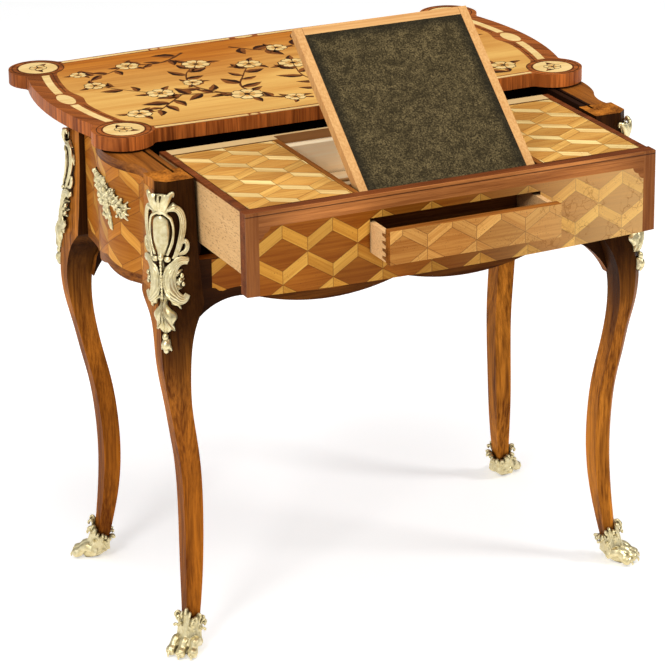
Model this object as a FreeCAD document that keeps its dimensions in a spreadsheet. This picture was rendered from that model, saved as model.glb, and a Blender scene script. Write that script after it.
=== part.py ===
"""Writing table with a sliding top, a fitted drawer, a leather slope and gilt mounts.

The frame has +X to the right along the front, +Y to the back and +Z up, and its origin is on the floor under
the middle of the carcass. The table stands open: the top is slid back, the drawer and the small drawer in its
front are drawn out, and the writing slope is propped up. Sizes are in millimetres and degrees.
"""
import FreeCAD
import Part
import math
import os
import re

from FreeCAD import Placement, Rotation, Vector

doc = FreeCAD.newDocument("WritingTable")
sheet = doc.addObject("Spreadsheet::Sheet", "Sizes")

# The bottom of the drawer lies under the floor of the small drawer's housing.
DRAWER_FOOT = "=small_low - running_gap - floor_thick - bottom_thick - bottom_rise"
# The slope reaches from its pivot to its rebate in the drawer back.
SLOPE_REACH = ("=2 * carcass_half_depth + back_post_set - apron_thick - drawer_end_gap - drawer_back_thick"
               " - front_recess - slope_set + slope_lap")
DRIVING_SIZES = [
    ("top_height", 730, "floor to the upper face of the top"),
    ("top_thick", 20, "thickness of the top"),
    ("top_half_width", 395, "middle of the top to the middle of an end"),
    ("top_half_depth", 200, "middle of the top to the middle of a long edge"),
    ("long_edge_bow", 9, "how far a long edge bows out"),
    ("end_bow", 36, "how far an end bows out"),
    ("lobe_in", 49, "middle of an end to the corner lobes, sideways"),
    ("lobe_x", "=top_half_width - lobe_in", "corner lobe from the middle, sideways"),
    ("lobe_set", 28, "middle of a long edge to the corner lobes, in depth"),
    ("lobe_y", "=top_half_depth - lobe_set", "corner lobe from the middle, in depth"),
    ("lobe_radius", 45.5, "radius of a corner lobe"),
    ("notch_fillet", 9, "rounding where a lobe meets an edge"),
    ("edge_band", 6, "width of the cross-grained edge"),
    ("top_travel", 184, "how far the top slides back"),
    ("top_gap", 3, "air between the carcass and the top"),
    ("top_overhang", 33, "shut top before the face of a post"),
    ("carcass_half_depth", "=top_half_depth - top_overhang", "middle of the carcass to the face of a post"),
    ("back_post_set", 20, "how much deeper the carcass is behind the middle than before it"),
    ("post_set", 78, "end of the top to the inner face of a post"),
    ("post_inner", "=top_half_width - post_set", "middle of the carcass to the inner face of a post"),
    ("post_width", 54, "post, along the front"),
    ("post_depth", 52, "post, from front to back"),
    ("post_cant", 13, "flat on the outer corner of a post"),
    ("ankle_cant", 3.5, "flat on the outer corner of a leg at its ankle"),
    ("carcass_top", "=top_height - top_thick - top_gap", "floor to the upper edge of the carcass"),
    ("post_high", 167, "height of a post above the knee"),
    ("knee_height", "=carcass_top - post_high", "floor to the lower end of the posts"),
    ("rail_set", 21, "inner face of a post to the inner face of a side rail"),
    ("rail_inner", "=post_inner + rail_set", "middle of the carcass to the inner face of a side rail"),
    ("rail_bulge", 47, "thickness of a side rail at its middle"),
    ("rail_waist", 24, "thickness of a side rail at its waist"),
    ("side_cusp_drop", 166, "height of a side rail at its cusp"),
    ("side_cusp", "=carcass_top - side_cusp_drop", "floor to the cusp under a side rail"),
    ("side_lobe_drop", 10, "lobes of a side rail below its cusp"),
    ("side_lobe", "=side_cusp - side_lobe_drop", "floor to the lobes under a side rail"),
    ("apron_drop", 193, "top of the carcass to the cusp of the apron"),
    ("apron_cusp", "=carcass_top - apron_drop", "floor to the cusp under the apron"),
    ("apron_lobe_drop", 17, "lobes of the apron below its cusp"),
    ("apron_lobe", "=apron_cusp - apron_lobe_drop", "floor to the lobes under the apron"),
    ("apron_peak_rise", 8, "outer arches of the apron above its cusp"),
    ("apron_peak", "=apron_cusp + apron_peak_rise", "floor to the outer arches under the apron"),
    ("apron_thick", 18, "thickness of the apron and the back rail"),
    ("front_recess", 2, "drawer front behind the faces of the posts"),
    ("front_gap", 1.5, "air beside the drawer front"),
    ("side_gap", 5, "air beside a drawer side, and inside a guide board"),
    ("drawer_travel", 176, "how far the drawer is drawn out"),
    ("drawer_drop", 2, "drawer below the upper edge of the carcass"),
    ("drawer_top", "=carcass_top - drawer_drop", "floor to the upper face of the drawer"),
    ("drawer_end_gap", 22, "air behind the shut drawer"),
    ("front_thick", 20, "thickness of the drawer front"),
    ("front_high", 118, "height of the drawer front at its ends"),
    ("front_end_low", "=drawer_top - front_high", "floor to the lower corners of the drawer front"),
    ("front_bow", 7, "how far the drawer front bows down at its middle"),
    ("front_mid_low", "=front_end_low - front_bow", "floor to the drawer front at its middle"),
    ("banding_thick", 3, "thickness of the mahogany frame let into the front"),
    ("banding_rail", 22, "height of the frame's top rail"),
    ("banding_stile", 19, "width of the frame's stiles"),
    ("banding_notch", 17, "size of the ogee in the frame's inner corners"),
    ("drawer_side", 10, "thickness of a drawer side"),
    ("drawer_back_thick", 22, "thickness of the drawer back"),
    ("bottom_rise", 0.5, "drawer bottom above the lower edges of the sides"),
    ("bottom_thick", 4, "thickness of the drawer bottom"),
    ("capping_thick", 4, "height of the mahogany strip on a drawer side"),
    ("well_half", 138, "middle to the wall of the writing well"),
    ("divider_thick", 8, "thickness of a divider"),
    ("well_depth", 62, "top of the drawer to the floor of the well"),
    ("floor_thick", 6, "thickness of the inner floors and walls"),
    ("small_set", 6.7, "wall of the well to the side of the small drawer"),
    ("small_half", "=well_half - small_set", "half the width of the small drawer"),
    ("small_sink", 33.5, "top of the drawer to the small drawer"),
    ("small_high", "=drawer_top - small_sink", "floor to the upper edge of the small drawer's front"),
    ("small_tall", 48.2, "height of the small drawer's front"),
    ("small_low", "=small_high - small_tall", "floor to the lower edge of the small drawer"),
    ("small_depth", 124, "small drawer, front to back"),
    ("small_travel", 62, "how far the small drawer is drawn out"),
    ("small_front", 14, "thickness of the small drawer's front"),
    ("small_wall", 8, "thickness of the small drawer's walls"),
    ("small_drop", 5, "small drawer sides below the edge of the front"),
    ("running_gap", 0.3, "air under and beside what slides"),
    ("drawer_foot", DRAWER_FOOT, "floor to the lower edge of the drawer sides"),
    ("lid_thick", 8, "thickness of a lid"),
    ("lid_gap", 1, "air round a lid"),
    ("pin_radius", 2, "radius of a lid pin"),
    ("pin_clear", 0.05, "running clearance round a pin"),
    ("slope_angle", 40, "tilt of the slope as it stands"),
    ("slope_thick", 14, "thickness of the slope's frame"),
    ("slope_gap", 2.5, "air beside the slope"),
    ("slope_half", "=well_half - slope_gap", "half the width of the slope"),
    ("slope_stile", 13, "width of the slope's frame"),
    ("slope_set", 29, "slope pivot behind the face of the drawer front"),
    ("slope_lap", 15, "slope over the drawer back"),
    ("slope_reach", SLOPE_REACH, "pivot to the upper edge of the slope"),
    ("leather_thick", 2, "thickness of the leather"),
    ("panel_thick", 7, "thickness of the board under the leather"),
    ("slope_pin", 3, "radius of a slope pin"),
    ("prop_length", 58, "slope pivot to the hinge of the prop"),
    ("prop_drop", 5, "hinge of the prop below the middle of the slope"),
    ("prop_thick", 5, "thickness of the prop"),
    ("prop_set", 27.5, "side of the slope to the side of the prop"),
    ("prop_half", "=slope_half - prop_set", "half the width of the prop"),
    ("foot_radius", 2.5, "radius of the prop's foot bar"),
    ("prop_pin", 1.5, "radius of the prop's pins"),
    ("slot_set", 6, "runner of the top to the inner face of a side rail"),
    ("slot_x", "=rail_inner - slot_set", "middle of the carcass to a runner of the top"),
    ("runner_foot", 8, "width of a runner's foot"),
    ("runner_foot_high", 3.5, "height of a runner's foot"),
    ("runner_stem", 3.4, "width of a runner's stem"),
    ("runner_drop", 10.3, "runner below the top"),
    ("lug_reach", 16, "how far a drawer lug stands out"),
    ("lug_long", 15, "length of a drawer lug"),
    ("lug_high", 8, "height of a drawer lug"),
    ("lug_sink", 65, "top of the drawer to the foot of a lug"),
    ("lug_low", "=drawer_top - lug_sink", "floor to a drawer lug"),
    ("strip_wide", 17, "width of a drawer runner"),
    ("dust_thick", 6, "thickness of the dust board"),
    ("dust_gap", 9, "air between the shut drawer front and the dust board"),
    ("screw_radius", 1.8, "radius of a runner screw"),
]

for row, (alias, value, note) in enumerate(DRIVING_SIZES, start=1):
    sheet.set(f"A{row}", note)
    sheet.set(f"B{row}", str(value))
    sheet.setAlias(f"B{row}", alias)
doc.recompute()

WORD = re.compile(r"[a-z][a-z_]*")
pieces = {}


def size(alias):
    """The value of a driving size."""
    return float(sheet.get(alias))


def bind(target, prop, formula):
    """Binds a property to a formula written in the names of the driving sizes."""
    target.setExpression(prop, WORD.sub(lambda word: "Sizes." + word.group(0), formula))


def keep(label, target):
    """Names a finished sub-part."""
    target.Label = label
    pieces[label] = target
    return target


def board(name, x, y, z):
    """A board between pairs of formulas for its low and high faces."""
    made = doc.addObject("Part::Box", name)
    for prop, base, (low, high) in (("Length", "x", x), ("Width", "y", y), ("Height", "z", z)):
        bind(made, prop, f"({high}) - ({low})")
        bind(made, f"Placement.Base.{base}", low)
    return made


def rod(name, radius, x, y, z):
    """A round rod along X between a pair of formulas, at the formulas y and z."""
    made = doc.addObject("Part::Cylinder", name)
    made.Placement = Placement(Vector(), Rotation(Vector(0, 1, 0), 90))
    bind(made, "Radius", radius)
    bind(made, "Height", f"({x[1]}) - ({x[0]})")
    bind(made, "Placement.Base.x", x[0])
    bind(made, "Placement.Base.y", y)
    bind(made, "Placement.Base.z", z)
    return made


def cut(name, base, *tools):
    """Takes tools away from a base."""
    for number, tool in enumerate(tools):
        made = doc.addObject("Part::Cut", f"{name}_cut{number}")
        made.Base = base
        made.Tool = tool
        base = made
    return base


def join(name, *shapes):
    """Joins shapes that are one piece."""
    made = doc.addObject("Part::MultiFuse", name)
    made.Shapes = list(shapes)
    made.Refine = True
    return made


def common(name, first, second):
    """What two solids share."""
    made = doc.addObject("Part::Common", name)
    made.Base = first
    made.Tool = second
    return made


def group(name, *members):
    """Equal pieces that share one node."""
    made = doc.addObject("Part::Compound", name)
    made.Links = list(members)
    return made


def mirror(name, source, normal):
    """The same piece on the other side of the middle."""
    made = doc.addObject("Part::Mirroring", name)
    made.Source = source
    made.Base = Vector()
    made.Normal = normal
    return made


def solid(name, shape):
    """A sub-part whose shape is worked out below from the driving sizes."""
    made = doc.addObject("Part::Feature", name)
    made.Shape = shape
    return made


def arc(start, middle, end):
    """An arc through three points."""
    return Part.Arc(Vector(*start), Vector(*middle), Vector(*end)).toShape()


def line(start, end):
    """A straight edge."""
    return Part.makeLine(Vector(*start), Vector(*end))


def prism(edges, along):
    """A solid swept from a closed outline along a vector."""
    return Part.Face(Part.Wire(edges)).extrude(Vector(*along))


def egg(centre, radii, turn=0):
    """An ellipsoid with radii along x, y and z, turned about the vertical through its centre."""
    matrix = FreeCAD.Matrix()
    matrix.scale(*radii)
    ball = Part.makeSphere(1).transformGeometry(matrix)
    ball.rotate(Vector(), Vector(0, 0, 1), turn)
    ball.translate(Vector(*centre))
    return ball


LEFT = Vector(1, 0, 0)
BACK = Vector(0, 1, 0)

# Heights and places that several pieces share, as formulas in the driving sizes.
TOP_LOW = "top_height - top_thick"
CARCASS_TOP = "carcass_top"
POST_BACK = "carcass_half_depth - post_depth"
FRONT_SHUT = "-(carcass_half_depth - front_recess)"
FRONT = f"{FRONT_SHUT} - drawer_travel"
FRONT_REAR = f"{FRONT} + front_thick"
BACK_RAIL = "carcass_half_depth + back_post_set - apron_thick"
BACK_POST = "carcass_half_depth + back_post_set - post_depth"
TOP_STANDS = "back_post_set / 2 + top_travel"
DRAWER_END = f"{BACK_RAIL} - drawer_end_gap - drawer_travel"
BACK_FACE = f"{DRAWER_END} - drawer_back_thick"
DRAWER_HALF = "post_inner - side_gap"
SIDE_INNER = f"{DRAWER_HALF} - drawer_side"
BOTTOM_TOP = "drawer_foot + bottom_rise + bottom_thick"
WELL_FLOOR = "drawer_top - well_depth"
DIVIDER_OUT = "well_half + divider_thick"
GUIDE_INNER = "post_inner + side_gap"
RUNNER_TOP = "drawer_foot - running_gap"
DUST_TOP = "front_mid_low - dust_gap"


def formula(text):
    """The value of a formula in the driving sizes."""
    made = doc.addObject("App::FeaturePython", "Worked")
    made.addProperty("App::PropertyFloat", "Value")
    bind(made, "Value", text)
    made.recompute()
    value = made.Value
    doc.removeObject(made.Name)
    return value


carcass_top = formula(CARCASS_TOP)
post_back = formula(POST_BACK)
knee = size("knee_height")

# How far a leg's four faces stand out from the inner corner of its post, at shares of the knee's height:
# share, inner face and outer face along the front, inner face and outer face in depth.
LEG_STATIONS = [
    (0.040, 23.6, 42, 55.5, 75),
    (0.111, 15.2, 35.6, 47, 69),
    (0.222, 7.2, 31.8, 35.7, 63),
    (0.333, 3.5, 30, 30.8, 60.3),
    (0.444, 4, 31.5, 32.3, 62.3),
    (0.556, 9.5, 37.5, 36.8, 68.3),
    (0.630, 16.5, 45, 41.5, 74.2),
    (0.704, 22.7, 52.2, 45.5, 79),
    (0.778, 26, 60, 48, 85.4),
    (0.852, 24.6, 64.3, 47.5, 87),
    (0.907, 19, 64, 42, 85),
    (0.954, 8, 63.5, 27, 81),
]
# How far a post's outer faces flare past its upper end, at shares of its height from the knee up.
POST_FLARE = [(0, 8, 23), (0.21, 5, 14), (0.6, 1, 4), (1, 0, 0)]


def cant_at(share):
    """The width of the cant at a share of the knee's height. It narrows down the leg to the ankle."""
    step = min(max((share - 0.3) / 0.55, 0), 1)
    return size("ankle_cant") + (size("post_cant") - size("ankle_cant")) * step * step * (3 - 2 * step)


def section(height, x_low, x_high, y_low, y_high):
    """The outline of a front right leg at a height, canted on its outer corner, from its faces."""
    cant = cant_at(height / knee)
    corners = [
        (x_low, -y_low),
        (x_high, -y_low),
        (x_high, -y_high + cant),
        (x_high - cant, -y_high),
        (x_low, -y_high),
    ]
    points = [Vector(x, y, height) for x, y in corners]
    return Part.makePolygon(points + points[:1])


def rake(share):
    """How much of the carcass's extra depth a back leg has taken up at a share of the knee's height."""
    step = min(max((share - 0.3) / 0.6, 0), 1)
    return step * step * (3 - 2 * step)


def post_section(share, deeper):
    """The outline of a post at a share of its height."""
    flare_x, flare_y = next((x, y) for step, x, y in POST_FLARE if step == share)
    height = knee + share * (carcass_top - knee)
    x_low = size("post_inner")
    x_high = x_low + size("post_width") + flare_x
    y_high = size("carcass_half_depth") + deeper + flare_y
    return section(height, x_low, x_high, post_back + deeper, y_high)


def corner_at(height, deeper):
    """The middle of the cant of a front right leg at a height. A back leg stands deeper."""
    inset = cant_at(height / knee) / 2
    outer_x = size("post_inner")
    steps = []
    for share, _, x, _, y in LEG_STATIONS:
        steps.append((share * knee, outer_x + x, post_back + rake(share) * deeper + y))
    outer_x += size("post_width")
    outer_y = size("carcass_half_depth") + deeper
    steps += [(knee + share * (carcass_top - knee), outer_x + x, outer_y + y) for share, x, y in POST_FLARE]
    for (low, x_low, y_low), (high, x_high, y_high) in zip(steps, steps[1:]):
        if low <= height <= high:
            share = (height - low) / (high - low)
            x = x_low + share * (x_high - x_low)
            y = y_low + share * (y_high - y_low)
    return Vector(x - inset, inset - y, height)


def leg_shape(deeper):
    """A front right leg: a straight-backed post on a cabriole leg. A back leg stands deeper at its knee."""
    sections = []
    for share, x_low, x_high, y_low, y_high in LEG_STATIONS:
        depth = post_back + rake(share) * deeper
        faces = (size("post_inner") + x_low, size("post_inner") + x_high, depth + y_low, depth + y_high)
        sections.append(section(share * knee, *faces))
    sections.append(post_section(0, deeper))
    lower = Part.makeLoft(sections, True, False)
    post = Part.makeLoft([post_section(share, deeper) for share, _, _ in POST_FLARE], True, True)
    return lower.fuse(post).removeSplitter()


front_blank_leg = solid("front_leg_blank", leg_shape(0))
back_blank_leg = solid("back_leg_turned", leg_shape(size("back_post_set")))

# T-slots for the runners of the top: through the guide boards and the back posts, and into the front posts.
RUNNER_LOW = f"{TOP_LOW} - runner_drop"
SLOT_LOW = f"{RUNNER_LOW} - running_gap"
SLOT_STEP = f"{RUNNER_LOW} + runner_foot_high + running_gap"
RUNNER_SHUT_FRONT = f"-({POST_BACK} + post_depth - 2 * apron_thick)"
RUNNER_HALF_FOOT = "runner_foot / 2 + running_gap"
RUNNER_HALF_STEM = "runner_stem / 2 + running_gap"
slot_y = (f"{RUNNER_SHUT_FRONT} - running_gap", "carcass_half_depth + back_post_set + apron_thick")
slot = join(
    "runner_slot",
    board("slot_foot", (f"slot_x - ({RUNNER_HALF_FOOT})", f"slot_x + {RUNNER_HALF_FOOT}"), slot_y,
          (SLOT_LOW, SLOT_STEP)),
    board("slot_stem", (f"slot_x - ({RUNNER_HALF_STEM})", f"slot_x + {RUNNER_HALF_STEM}"), slot_y,
          (SLOT_STEP, TOP_LOW)),
)

# Grooves for the lugs of the drawer, from where the drawn-out lug stops to the shut drawer's end.
LUG_REAR = f"{DRAWER_END} - running_gap"
LUG_FRONT = f"{LUG_REAR} - lug_long"
groove = board(
    "lug_groove",
    (f"{DRAWER_HALF}", f"{DRAWER_HALF} + lug_reach + running_gap"),
    (f"{LUG_FRONT} - running_gap", f"{LUG_REAR} + drawer_travel + running_gap"),
    ("lug_low - running_gap", "lug_low + lug_high + running_gap"),
)

front_leg = cut("front_leg", front_blank_leg, slot)
back_leg = cut("back_leg", mirror("back_leg_blank", back_blank_leg, BACK), slot, groove)
keep("front_right_leg", front_leg)
keep("back_right_leg", back_leg)
left_front_leg = keep("front_left_leg", mirror("front_left_leg", front_leg, LEFT))
left_back_leg = keep("back_left_leg", mirror("back_left_leg", back_leg, LEFT))

# The share of the apron's half width where its lobes are lowest, meet the outer arches, and where these peak.
APRON_LOW, APRON_MEET, APRON_PEAK = 0.36, 0.73, 0.85
# The stations of a leg that a bracket of the apron runs down, how far it bows, and how far it laps onto the leg.
BRACKET_STATIONS = [station for station in LEG_STATIONS if station[0] > 0.85]
BRACKET_BOW = 1.5
BRACKET_LAP = 2


def bracket_edges(side, y, foot):
    """The arched edge of the bracket at one end of an apron, and its edge down the leg from the post."""
    half = size("post_inner")
    down = [(side * (half + inner + BRACKET_LAP), y, share * knee) for share, inner, *rest in BRACKET_STATIONS]
    tip = down[0]
    middle = ((side * half + tip[0]) / 2 + side * BRACKET_BOW, y, (foot + tip[2]) / 2 + BRACKET_BOW)
    arch = arc(tip, middle, (side * half, y, foot))
    points = [(side * half, y, knee), *reversed(down)]
    return arch, [line(a, b) for a, b in zip(points, points[1:])]


def apron_edges(y):
    """The shaped lower edge of the apron, with its brackets and the edges that lie on the legs, in the plane y."""
    half = size("post_inner")
    cusp = size("apron_cusp")
    low = size("apron_lobe")
    peak = size("apron_peak")
    meet = peak - 2
    foot = low
    left = [
        arc((-half, y, foot), (-APRON_PEAK * half, y, peak), (-APRON_MEET * half, y, meet)),
        arc((-APRON_MEET * half, y, meet), (-APRON_LOW * half, y, low), (0, y, cusp)),
    ]
    right = [
        arc((0, y, cusp), (APRON_LOW * half, y, low), (APRON_MEET * half, y, meet)),
        arc((APRON_MEET * half, y, meet), (APRON_PEAK * half, y, peak), (half, y, foot)),
    ]
    left_arch, left_seat = bracket_edges(-1, y, foot)
    right_arch, right_seat = bracket_edges(1, y, foot)
    return left_seat + [left_arch] + left + right + [right_arch] + right_seat[::-1]


def front_low_edge(half, y, drop):
    """The bowed lower edge of the drawer front, or the apron's upper edge below it, from right to left."""
    low_end = size("front_end_low") - drop
    low_mid = size("front_mid_low") - drop
    return arc((half, y, low_end), (0, y, low_mid), (-half, y, low_end)), low_end


def apron_shape():
    """The front apron, whose upper edge follows the drawer front."""
    half = size("post_inner")
    y = formula(FRONT_SHUT)
    upper, top_end = front_low_edge(half, y, 1)
    ends = [line((half, y, knee), (half, y, top_end)), line((-half, y, top_end), (-half, y, knee))]
    return prism(apron_edges(y) + [ends[0], upper, ends[1]], (0, size("apron_thick"), 0))


def back_rail_shape():
    """The back rail, shaped below like the apron."""
    half = size("post_inner")
    y = formula(BACK_RAIL)
    corners = [(half, y, knee), (half, y, carcass_top), (-half, y, carcass_top), (-half, y, knee)]
    sides = [line(a, b) for a, b in zip(corners, corners[1:])]
    return prism(apron_edges(y) + sides, (0, size("apron_thick"), 0))


apron_blank = solid("apron_blank", apron_shape())
rail_blank = solid("back_rail_blank", back_rail_shape())
keep("front_apron", cut("front_apron", apron_blank, front_leg, left_front_leg))
keep("back_rail", cut("back_rail", rail_blank, back_leg, left_back_leg))

# The share of a side rail's half length where the bulge turns into the waist, and where the waist is deepest.
RAIL_TURN, RAIL_WAIST = 0.52, 0.82


def rail_plan():
    """A right side rail seen from above, as tall as the carcass."""
    front = post_back
    back = formula(BACK_POST)
    inner = size("rail_inner")
    waist = inner + size("rail_waist")
    bulge = inner + size("rail_bulge")
    turn = (waist + bulge) / 2
    low = knee / 2
    edges = [
        line((inner, back, low), (inner, -front, low)),
        line((inner, -front, low), (waist + 1, -front, low)),
        arc((waist + 1, -front, low), (waist, -RAIL_WAIST * front, low), (turn, -RAIL_TURN * front, low)),
        arc((turn, -RAIL_TURN * front, low), (bulge, 0, low), (turn, RAIL_TURN * front, low)),
        arc((turn, RAIL_TURN * front, low), (waist, RAIL_WAIST * back, low), (waist + 1, back, low)),
        line((waist + 1, back, low), (inner, back, low)),
    ]
    return prism(edges, (0, 0, carcass_top - low))


def rail_elevation():
    """A side rail seen from the side, with two lobes and a cusp below."""
    front = post_back
    back = formula(BACK_POST)
    x = size("rail_inner")
    cusp = size("side_cusp")
    lobe = size("side_lobe")
    end = (cusp + lobe) / 2
    edges = [
        arc((x, -front, end), (x, -front / 2, lobe), (x, 0, cusp)),
        arc((x, 0, cusp), (x, back / 2, lobe), (x, back, end)),
        line((x, back, end), (x, back, carcass_top)),
        line((x, back, carcass_top), (x, -front, carcass_top)),
        line((x, -front, carcass_top), (x, -front, end)),
    ]
    return prism(edges, (size("rail_bulge") + size("lobe_radius"), 0, 0))


side_rail = keep(
    "right_side_rail",
    common("right_side_rail", solid("rail_plan", rail_plan()), solid("rail_elevation", rail_elevation())),
)
keep("left_side_rail", mirror("left_side_rail", side_rail, LEFT))

guide_blank = board("guide_blank", (GUIDE_INNER, "rail_inner"), (f"-({POST_BACK})", BACK_POST), (DUST_TOP, CARCASS_TOP))
guide = keep("right_guide_board", cut("right_guide_board", guide_blank, slot, groove))
keep("left_guide_board", mirror("left_guide_board", guide, LEFT))

carcass_y = (f"{FRONT_SHUT} + apron_thick", BACK_RAIL)
strip_y = (f"{FRONT_SHUT} + front_thick + running_gap", BACK_RAIL)
strip = board("right_strip", ("post_inner - strip_wide", "post_inner"), strip_y, (DUST_TOP, RUNNER_TOP))
keep("drawer_runners", group("drawer_runners", strip, mirror("left_strip", strip, LEFT)))
keep("dust_board", board("dust_board", ("-post_inner", "post_inner"), carcass_y, (f"{DUST_TOP} - dust_thick", DUST_TOP)))


def top_shape(inset):
    """The top's outline, drawn in by an inset, as a solid in the place where the top stands."""
    lobe_x = size("lobe_x")
    lobe_y = size("lobe_y")
    low = formula(TOP_LOW)
    thick = size("top_thick")
    wide = size("top_half_width") - inset
    deep = size("top_half_depth") - inset
    corner_x = wide - size("end_bow")
    corner_y = deep - size("long_edge_bow")
    plan = [
        arc((-corner_x, -corner_y, low), (0, -deep, low), (corner_x, -corner_y, low)),
        arc((corner_x, -corner_y, low), (wide, 0, low), (corner_x, corner_y, low)),
        arc((corner_x, corner_y, low), (0, deep, low), (-corner_x, corner_y, low)),
        arc((-corner_x, corner_y, low), (-wide, 0, low), (-corner_x, -corner_y, low)),
    ]
    lobes = []
    for x, y in ((lobe_x, lobe_y), (-lobe_x, lobe_y), (-lobe_x, -lobe_y), (lobe_x, -lobe_y)):
        centre = Vector(x, y, low)
        lobe = Part.makeCylinder(size("lobe_radius") - inset, thick, centre)
        lobe.rotate(centre, Vector(0, 0, 1), 180 if x > 0 else 0)
        lobes.append(lobe)
    blank = prism(plan, (0, 0, thick)).fuse(lobes).removeSplitter()
    upright = [edge for edge in blank.Edges if abs(edge.tangentAt(edge.FirstParameter).z) > 0.99]
    shape = blank.makeFillet(size("notch_fillet") + inset, upright)
    shape.translate(Vector(0, formula(TOP_STANDS), 0))
    return shape


runner_y = (f"{RUNNER_SHUT_FRONT} + top_travel", f"-({RUNNER_SHUT_FRONT}) + top_travel")
runner_blank = join(
    "runner_blank",
    board("runner_foot_bar", ("slot_x - runner_foot / 2", "slot_x + runner_foot / 2"), runner_y,
          (RUNNER_LOW, f"{RUNNER_LOW} + runner_foot_high")),
    board("runner_stem_bar", ("slot_x - runner_stem / 2", "slot_x + runner_stem / 2"), runner_y,
          (f"{RUNNER_LOW} + runner_foot_high", TOP_LOW)),
)
# Where along the runner its screws sit, as shares of its half length.
SCREW_PLACES = (-0.8, 0, 0.8)
SCREW_BITE = 12


def runner_screw(share):
    """A screw up through a runner into the top."""
    y = size("top_travel") - share * formula(RUNNER_SHUT_FRONT)
    base = Vector(size("slot_x"), y, formula(RUNNER_LOW))
    shank = Part.makeCylinder(size("screw_radius") * 0.7, size("runner_drop") + SCREW_BITE, base)
    head = Part.makeCone(size("screw_radius") * 1.8, size("screw_radius") * 0.7, size("screw_radius"), base)
    return shank.fuse(head).removeSplitter()


right_screws = solid("right_screws", Part.makeCompound([runner_screw(share) for share in SCREW_PLACES]))
left_screws = mirror("left_screws", right_screws, LEFT)
runner = cut("runner", runner_blank, right_screws)
keep("runner_screws", group("runner_screws", right_screws, left_screws))
keep("top_runners", group("top_runners", runner, mirror("left_runner", runner, LEFT)))
inner_top = solid("top_inner", top_shape(size("edge_band")))
outer_top = solid("top_outer", top_shape(0))
keep("top_panel", cut("top_panel", inner_top, right_screws, left_screws))
keep("top_edge_band", cut("top_edge_band", outer_top, inner_top))


# The drawer.
drawer_y = (FRONT_REAR, DRAWER_END)
side_blank = board("side_blank", (SIDE_INNER, DRAWER_HALF), drawer_y, ("drawer_foot", "drawer_top - capping_thick"))
capping_z = ("drawer_top - capping_thick", "drawer_top")
capping_blank = board("capping_blank", (SIDE_INNER, DRAWER_HALF), drawer_y, capping_z)

LID_PIN_Y = f"{BACK_FACE} - lid_gap - lid_thick / 2"
LID_PIN_Z = "drawer_top - lid_thick / 2"
LID_INNER = f"{DIVIDER_OUT} + lid_gap"
LID_OUTER = f"{SIDE_INNER} - lid_gap"
PIN_BITE = "divider_thick * 0.75"
inner_pin_x = (f"{DIVIDER_OUT} - {PIN_BITE}", f"{DIVIDER_OUT} + 2 * divider_thick")
outer_pin_x = (f"{SIDE_INNER} - 2 * divider_thick", f"{SIDE_INNER} + {PIN_BITE}")
inner_pin = rod("inner_lid_pin", "pin_radius", inner_pin_x, LID_PIN_Y, LID_PIN_Z)
outer_pin = rod("outer_lid_pin", "pin_radius", outer_pin_x, LID_PIN_Y, LID_PIN_Z)
right_pins = group("right_lid_pins", inner_pin, outer_pin)
keep("lid_pins", group("lid_pins", right_pins, mirror("left_lid_pins", right_pins, LEFT)))

right_side = keep("drawer_right_side", cut("drawer_right_side", side_blank, outer_pin))
keep("drawer_left_side", mirror("drawer_left_side", right_side, LEFT))
capping = cut("capping", capping_blank, outer_pin)
keep("side_cappings", group("side_cappings", capping, mirror("left_capping", capping, LEFT)))

lug = board("right_lug", (DRAWER_HALF, f"{DRAWER_HALF} + lug_reach"), (LUG_FRONT, LUG_REAR), ("lug_low", "lug_low + lug_high"))
keep("drawer_lugs", group("drawer_lugs", lug, mirror("left_lug", lug, LEFT)))

# Slope pivot, used by the drawer's dividers and by the slope.
PIVOT_Y = f"{FRONT} + slope_set"
PIVOT_Z = "drawer_top - slope_thick / 2"
slope_pin_x = ("slope_half - slope_stile * 0.75", f"well_half + {PIN_BITE}")
right_slope_pin = rod("right_slope_pin", "slope_pin", slope_pin_x, PIVOT_Y, PIVOT_Z)
keep("slope_pins", group("slope_pins", right_slope_pin, mirror("left_slope_pin", right_slope_pin, LEFT)))

divider_blank = board("divider_blank", ("well_half", DIVIDER_OUT), (FRONT_REAR, BACK_FACE), (BOTTOM_TOP, "drawer_top"))
right_divider = keep("right_divider", cut("right_divider", divider_blank, inner_pin, right_slope_pin))
keep("left_divider", mirror("left_divider", right_divider, LEFT))

keep("drawer_bottom", board("drawer_bottom", (f"-({SIDE_INNER})", SIDE_INNER), drawer_y,
                            ("drawer_foot + bottom_rise", BOTTOM_TOP)))
back_blank = board("back_blank", (f"-({SIDE_INNER})", SIDE_INNER), (BACK_FACE, DRAWER_END), (BOTTOM_TOP, "drawer_top"))
# The slope's upper edge lies in a rebate of the drawer back when the slope is down.
rebate = board("slope_rebate", ("-well_half", "well_half"), (BACK_FACE, f"{PIVOT_Y} + slope_reach + lid_gap"),
               ("drawer_top - slope_thick - running_gap", "drawer_top"))
keep("drawer_back", cut("drawer_back", back_blank, rebate))


def front_outline():
    """The drawer front with its bowed lower edge."""
    half = size("post_inner") - size("front_gap")
    y = formula(FRONT)
    high = size("drawer_top")
    lower, low_end = front_low_edge(half, y, 0)
    sides = [
        line((-half, y, low_end), (-half, y, high)),
        line((-half, y, high), (half, y, high)),
        line((half, y, high), (half, y, low_end)),
    ]
    return prism([lower] + sides, (0, size("front_thick"), 0))


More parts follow.
